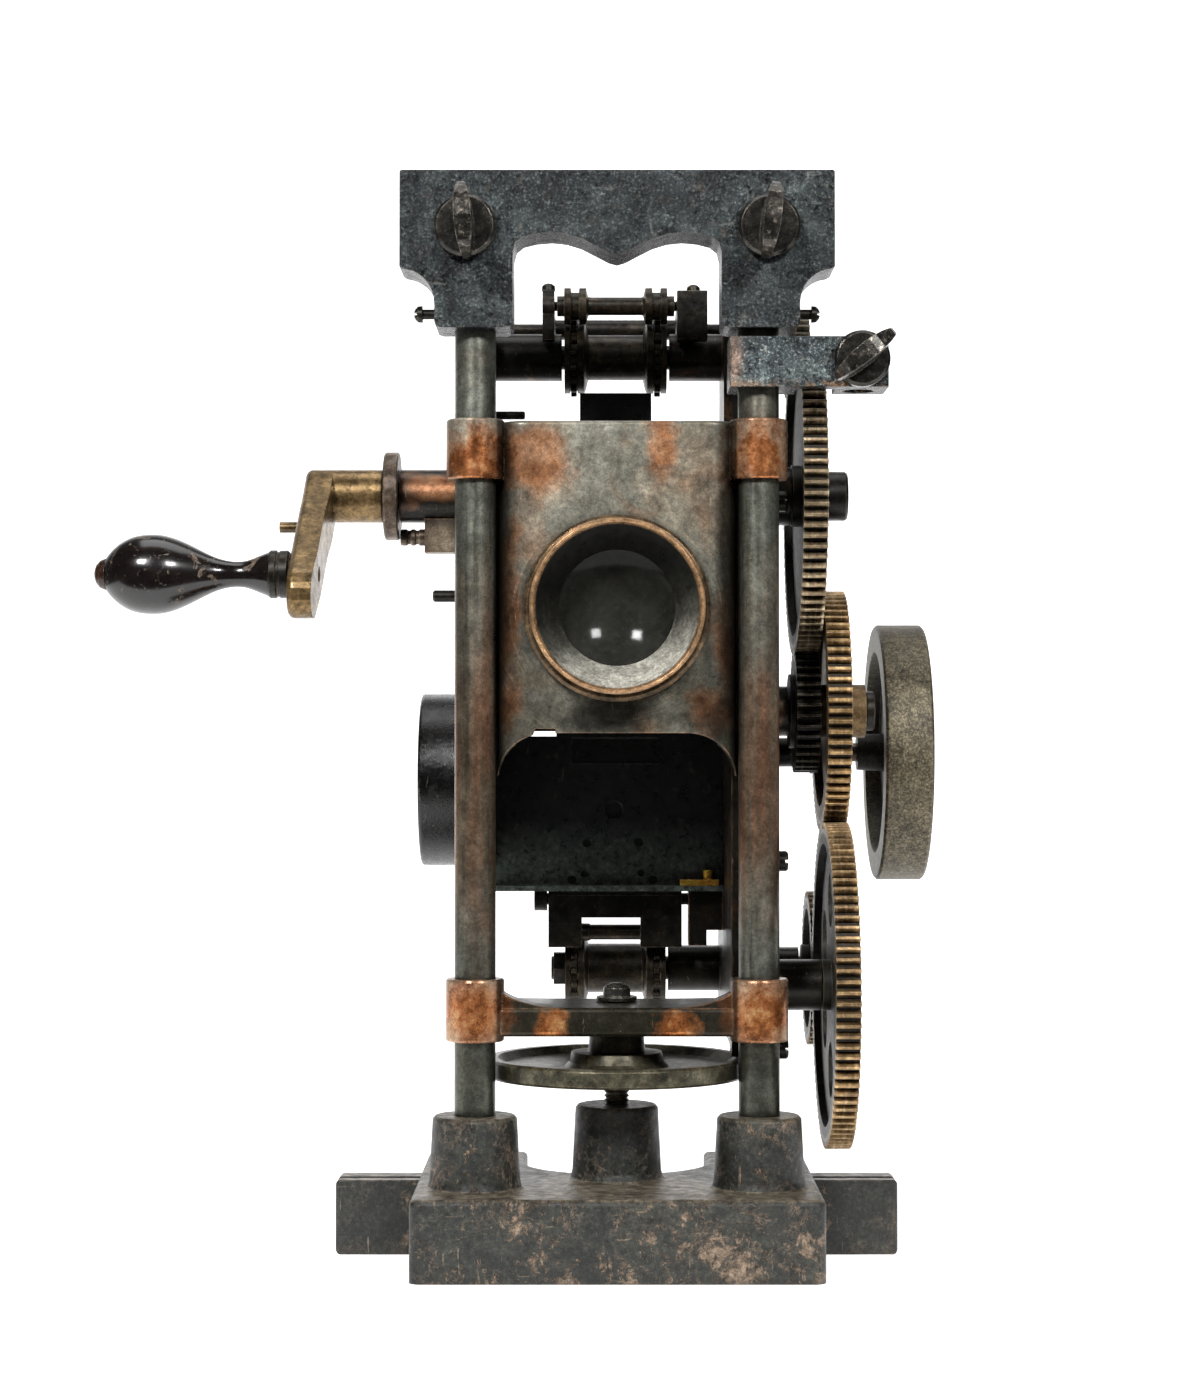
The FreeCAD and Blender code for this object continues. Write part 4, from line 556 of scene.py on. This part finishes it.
MAT = {
    "base": cast_black(),
    "yoke": gunmetal("yoke_gunmetal", 0.74, 1.0),
    "arm": gunmetal("arm_gunmetal", 1.14, 0.8, (35.2, -10, 279, 4.2, 14, 9, 0.4, 4)),
    "post": post_steel(),
    "plate": copper_plate("plate_copper", PLATE_WARM, "grey", 1.0, PLATE_SHADE, PLATE_PALE, COLLAR_BRIGHT),
    # the warm patch on the crank sleeve is a narrow band at mid height: a painted copper highlight band
    "wall": copper_plate("wall_copper", [(-58, 38, 244, 11, 12, 4.6, 0.6, 6)], "dark", 0.9,
                         [(29.5, 86, 95, 9, 9, 19, 0.1, 5)], [(-57, 40, 227.4, 8, 40, 7, 0.2, 5)]),
    "steel": dark_steel("steel_browned", (15, 14, 11), (29, 26, 21), (52, 46, 37)),
    "thumb": dark_steel("thumb_steel", (38, 37, 34), (56, 54, 50), (82, 78, 72), edge=(206, 198, 184), rust=0.2, metal=0.65, rough=(0.18, 0.32), wing=-21.0),
    "disc": dark_steel("disc_steel", (60, 49, 40), (94, 79, 66), (142, 124, 106), edge=(212, 198, 178), rust=0.45),
    "sprocket": dark_steel("sprocket_steel", (24, 21, 15), (44, 38, 28), (72, 62, 47), rust=0.55),
    "wheel": dark_steel("wheel_steel", (48, 46, 35), (74, 71, 56), (104, 99, 81), edge=(150, 134, 106), rust=0.35, rough=(0.26, 0.42)),
    "black": black_paint("gate_black", 0.5, 0.7, (136.0, 110.0), (0.24, 0.42), 0.4),
    "drum": black_paint("drum_black", 0.6, 0.38, None, (0.18, 0.34), 0.6),
    "brass": aged_brass("crank_brass", 0.80, 0.5, pin=(-105, 29, 229.7, 5.6, 3, 3, 0.05, 3)),
    "lip": aged_brass("lip_brass", 1.3, 0.25, tint=(236, 208, 104)),
    "gold": gear_teeth("gear_brass", (46.0, 172.15), 36.8, ((116, 90, 54), (166, 132, 86), (214, 182, 130)), ((86, 68, 44), (118, 95, 64), (150, 126, 90)), 0.85),
    "crank_gear": gear_teeth("gear_crank", (46.0, 242.0), 49.5, ((104, 87, 64), (154, 134, 104), (206, 186, 154)), ((22, 22, 18), (40, 39, 33), (66, 63, 53))),
    "lower_gear": gear_teeth("gear_lower", (30.0, 84.71), 49.5, ((104, 81, 52), (154, 124, 84), (206, 174, 126)), ((22, 22, 18), (40, 39, 33), (66, 63, 53))),
    "lspr_gear": gear_teeth("gear_lower_sprocket", (106.2, 84.4), 24.1, ((72, 60, 43), (104, 88, 66), (142, 123, 95)), ((20, 19, 16), (34, 31, 26), (52, 47, 39))),
    "upper_gear": gear_teeth("gear_upper", (84.6, 292.4), 11.4, ((44, 40, 33), (68, 62, 52), (104, 96, 80)), ((20, 19, 16), (34, 31, 26), (52, 47, 39))),
    "pinion": gear_teeth("gear_pinion", (46.0, 172.15), 17.8, ((22, 21, 18), (42, 40, 35), (80, 76, 68)), ((14, 13, 12), (22, 21, 19), (34, 32, 28))),
    "dpinion": gear_teeth("gear_driver", (88.4, 158.74), 5.0, ((30, 28, 24), (52, 49, 42), (88, 83, 73)), ((20, 19, 17), (30, 29, 26), (46, 43, 38))),
    "iron": grey_iron(),
    "wood": handle_wood(),
    "cap": dark_steel("dome_brown", (34, 22, 17), (56, 37, 28), (82, 58, 45), edge=(128, 100, 80), rust=0.6, metal=0.2, rough=(0.2, 0.36)),
    "jacket": lens_metal("lens_jacket_metal"),
    "barrel": lens_metal("lens_barrel_metal", True),
    "glass": lens_glass(),
}

USE = {
    "base_casting": "base", "left_post": "post", "right_post": "post", "yoke": "yoke", "side_arm": "arm", "set_screws": "steel",
    "yoke_thumbscrew_left": "thumb", "yoke_thumbscrew_right": "thumb", "arm_thumbscrew": "thumb",
    "lens_plate_casting": "plate", "right_wall": "wall", "left_wall": "wall", "wall_studs": "steel",
    "lens_jacket": "jacket", "lens_barrel": "barrel", "front_glass": "glass", "rear_glass": "glass", "rear_lens_ring": "black",
    "gate_shield": "black", "aperture_plate": "black", "gate_door": "black", "gate_hinge": "steel",
    "upper_pivot_rod": "steel", "upper_idler_arm": "steel", "upper_arm_screws": "steel", "upper_roller": "sprocket",
    "lower_pivot_rod": "steel", "lower_idler_arm": "steel", "lower_roller": "sprocket", "brass_post": "lip",
    "crank_shaft": "steel", "crank_gear": "crank_gear", "crank_end_collar": "steel", "crank_disc": "disc", "crank_arm": "brass",
    "handle_spindle": "cap", "crank_handle": "wood", "handle_ferrule": "steel", "spring_plunger": "disc",
    "inter_stud": "steel", "inter_pinion": "pinion", "brass_gear": "gold", "lower_stud": "steel", "lower_gear": "lower_gear",
    "lower_shaft": "steel", "lower_sprocket": "sprocket", "lower_sprocket_gear": "lspr_gear",
    "upper_shaft": "steel", "upper_sprocket": "sprocket", "upper_pinion": "upper_gear",
    "drive_shaft": "disc", "drive_pinion": "dpinion", "flywheel": "iron", "geneva_driver": "steel",
    "star_shaft": "steel", "intermittent_sprocket": "sprocket", "geneva_case": "drum",
    "framing_wheel": "wheel", "framing_cap_screw": "thumb",
}
for name, ob in NODES.items():
    ob.data.materials.clear()
    ob.data.materials.append(MAT[USE[name]])


# the front glass is a shallow hollow: give its face the true normals of that curve
me = NODES["front_glass"].data
mid_y, drop, edge_r = 0.6, 6.0, 18.4
normals = [Vector(c.vector) for c in me.corner_normals]
for lp in me.loops:
    q = me.vertices[lp.vertex_index].co * 1000.0
    x, z = q.x, q.z - 203.0
    n = Vector((-2 * drop * x / edge_r ** 2, -1.0, -2 * drop * z / edge_r ** 2)).normalized()
    if abs(q.y - mid_y + drop * (x * x + z * z) / edge_r ** 2) < 0.15 and n.dot(normals[lp.index]) > 0.8:
        normals[lp.index] = n
me.normals_split_custom_set([tuple(n) for n in normals])


# ---------------------------------------------------------------------- stage
def stage_floor():
    me = bpy.data.meshes.new("floor")
    ob = bpy.data.objects.new("floor", me)
    bpy.context.collection.objects.link(ob)
    bm = bmesh.new()
    prof = [(-0.20, 0.0), (0.7, 0.0)]
    for i in range(1, 13):
        a = math.pi / 2 * i / 12
        prof.append((0.7 + 0.6 * math.sin(a), 0.6 - 0.6 * math.cos(a)))
    prof.append((1.3, 1.1))
    rows = [[bm.verts.new((x, y, z)) for y, z in prof] for x in (-0.85, 0.85)]
    for i in range(len(prof) - 1):
        bm.faces.new((rows[0][i], rows[1][i], rows[1][i + 1], rows[0][i + 1]))
    for f in bm.faces:
        f.smooth = True
    bm.to_mesh(me)
    bm.free()
    t = Tree("floor_white")
    n = t.noise(60, 3)
    t.finish(t.ramp(n, (0.3, lin(246, 246, 246)), (0.7, lin(252, 252, 252))), 0.75, 0.0, None, 0.1, grit=0.0)
    t.bsdf.inputs["Emission Color"].default_value = (1, 1, 1, 1)
    t.bsdf.inputs["Emission Strength"].default_value = 0.80
    me.materials.append(t.mat)
    return ob


stage_floor()

scene = bpy.context.scene
scene.view_settings.view_transform = "Standard"
scene.view_settings.look = "None"
scene.view_settings.exposure = 0.0

world = bpy.data.worlds.new("studio")
scene.world = world
world.use_nodes = True
wt = world.node_tree
bg = wt.nodes["Background"]
# a dark room in front, paper white behind and below the set
tc = wt.nodes.new("ShaderNodeTexCoord")
sp = wt.nodes.new("ShaderNodeSeparateXYZ")
wt.links.new(tc.outputs["Generated"], sp.inputs[0])
rp = wt.nodes.new("ShaderNodeValToRGB")
el = rp.color_ramp.elements
el[0].position, el[0].color = 0.0, (0.05, 0.05, 0.052, 1)
el[1].position, el[1].color = 1.0, (1.0, 1.0, 1.0, 1)
e2 = el.new(0.55)
e2.color = (0.07, 0.07, 0.072, 1)
e3 = el.new(0.85)
e3.color = (1.0, 1.0, 1.0, 1)
wt.links.new(sp.outputs[1], rp.inputs[0])
wt.links.new(rp.outputs[0], bg.inputs[0])
bg.inputs[1].default_value = 1.0


def area(name, loc, aim, size, power, colour=(1, 1, 1)):
    d = bpy.data.lights.new(name, "AREA")
    d.shape = "RECTANGLE"
    d.size, d.size_y = size
    d.energy = power
    d.color = colour
    o = bpy.data.objects.new(name, d)
    bpy.context.collection.objects.link(o)
    o.location = loc
    o.rotation_euler = (Vector(aim) - Vector(loc)).to_track_quat("-Z", "Y").to_euler()
    return o


area("key", (-0.55, -1.15, 1.0), (0, 0, 0.17), (0.24, 0.24), 18.5)
area("fill", (0.60, -1.15, 0.95), (0, 0, 0.17), (0.24, 0.24), 13)
area("top", (0.0, 0.15, 1.25), (0, 0, 0.1), (0.9, 0.6), 4)

# --------------------------------------------------------------------- camera
cam = bpy.data.cameras.new("camera")
cam.sensor_width = 36.0
cam.lens = 2900.0 * 36.0 / 1390.0
cam.clip_start = 0.01
co = bpy.data.objects.new("camera", cam)
bpy.context.collection.objects.link(co)
co.location = (-5.25 * MM, -896 * MM, 159.5 * MM)
co.rotation_euler = (math.radians(91.087), 0, 0)
scene.camera = co

bpy.context.view_layer.update()
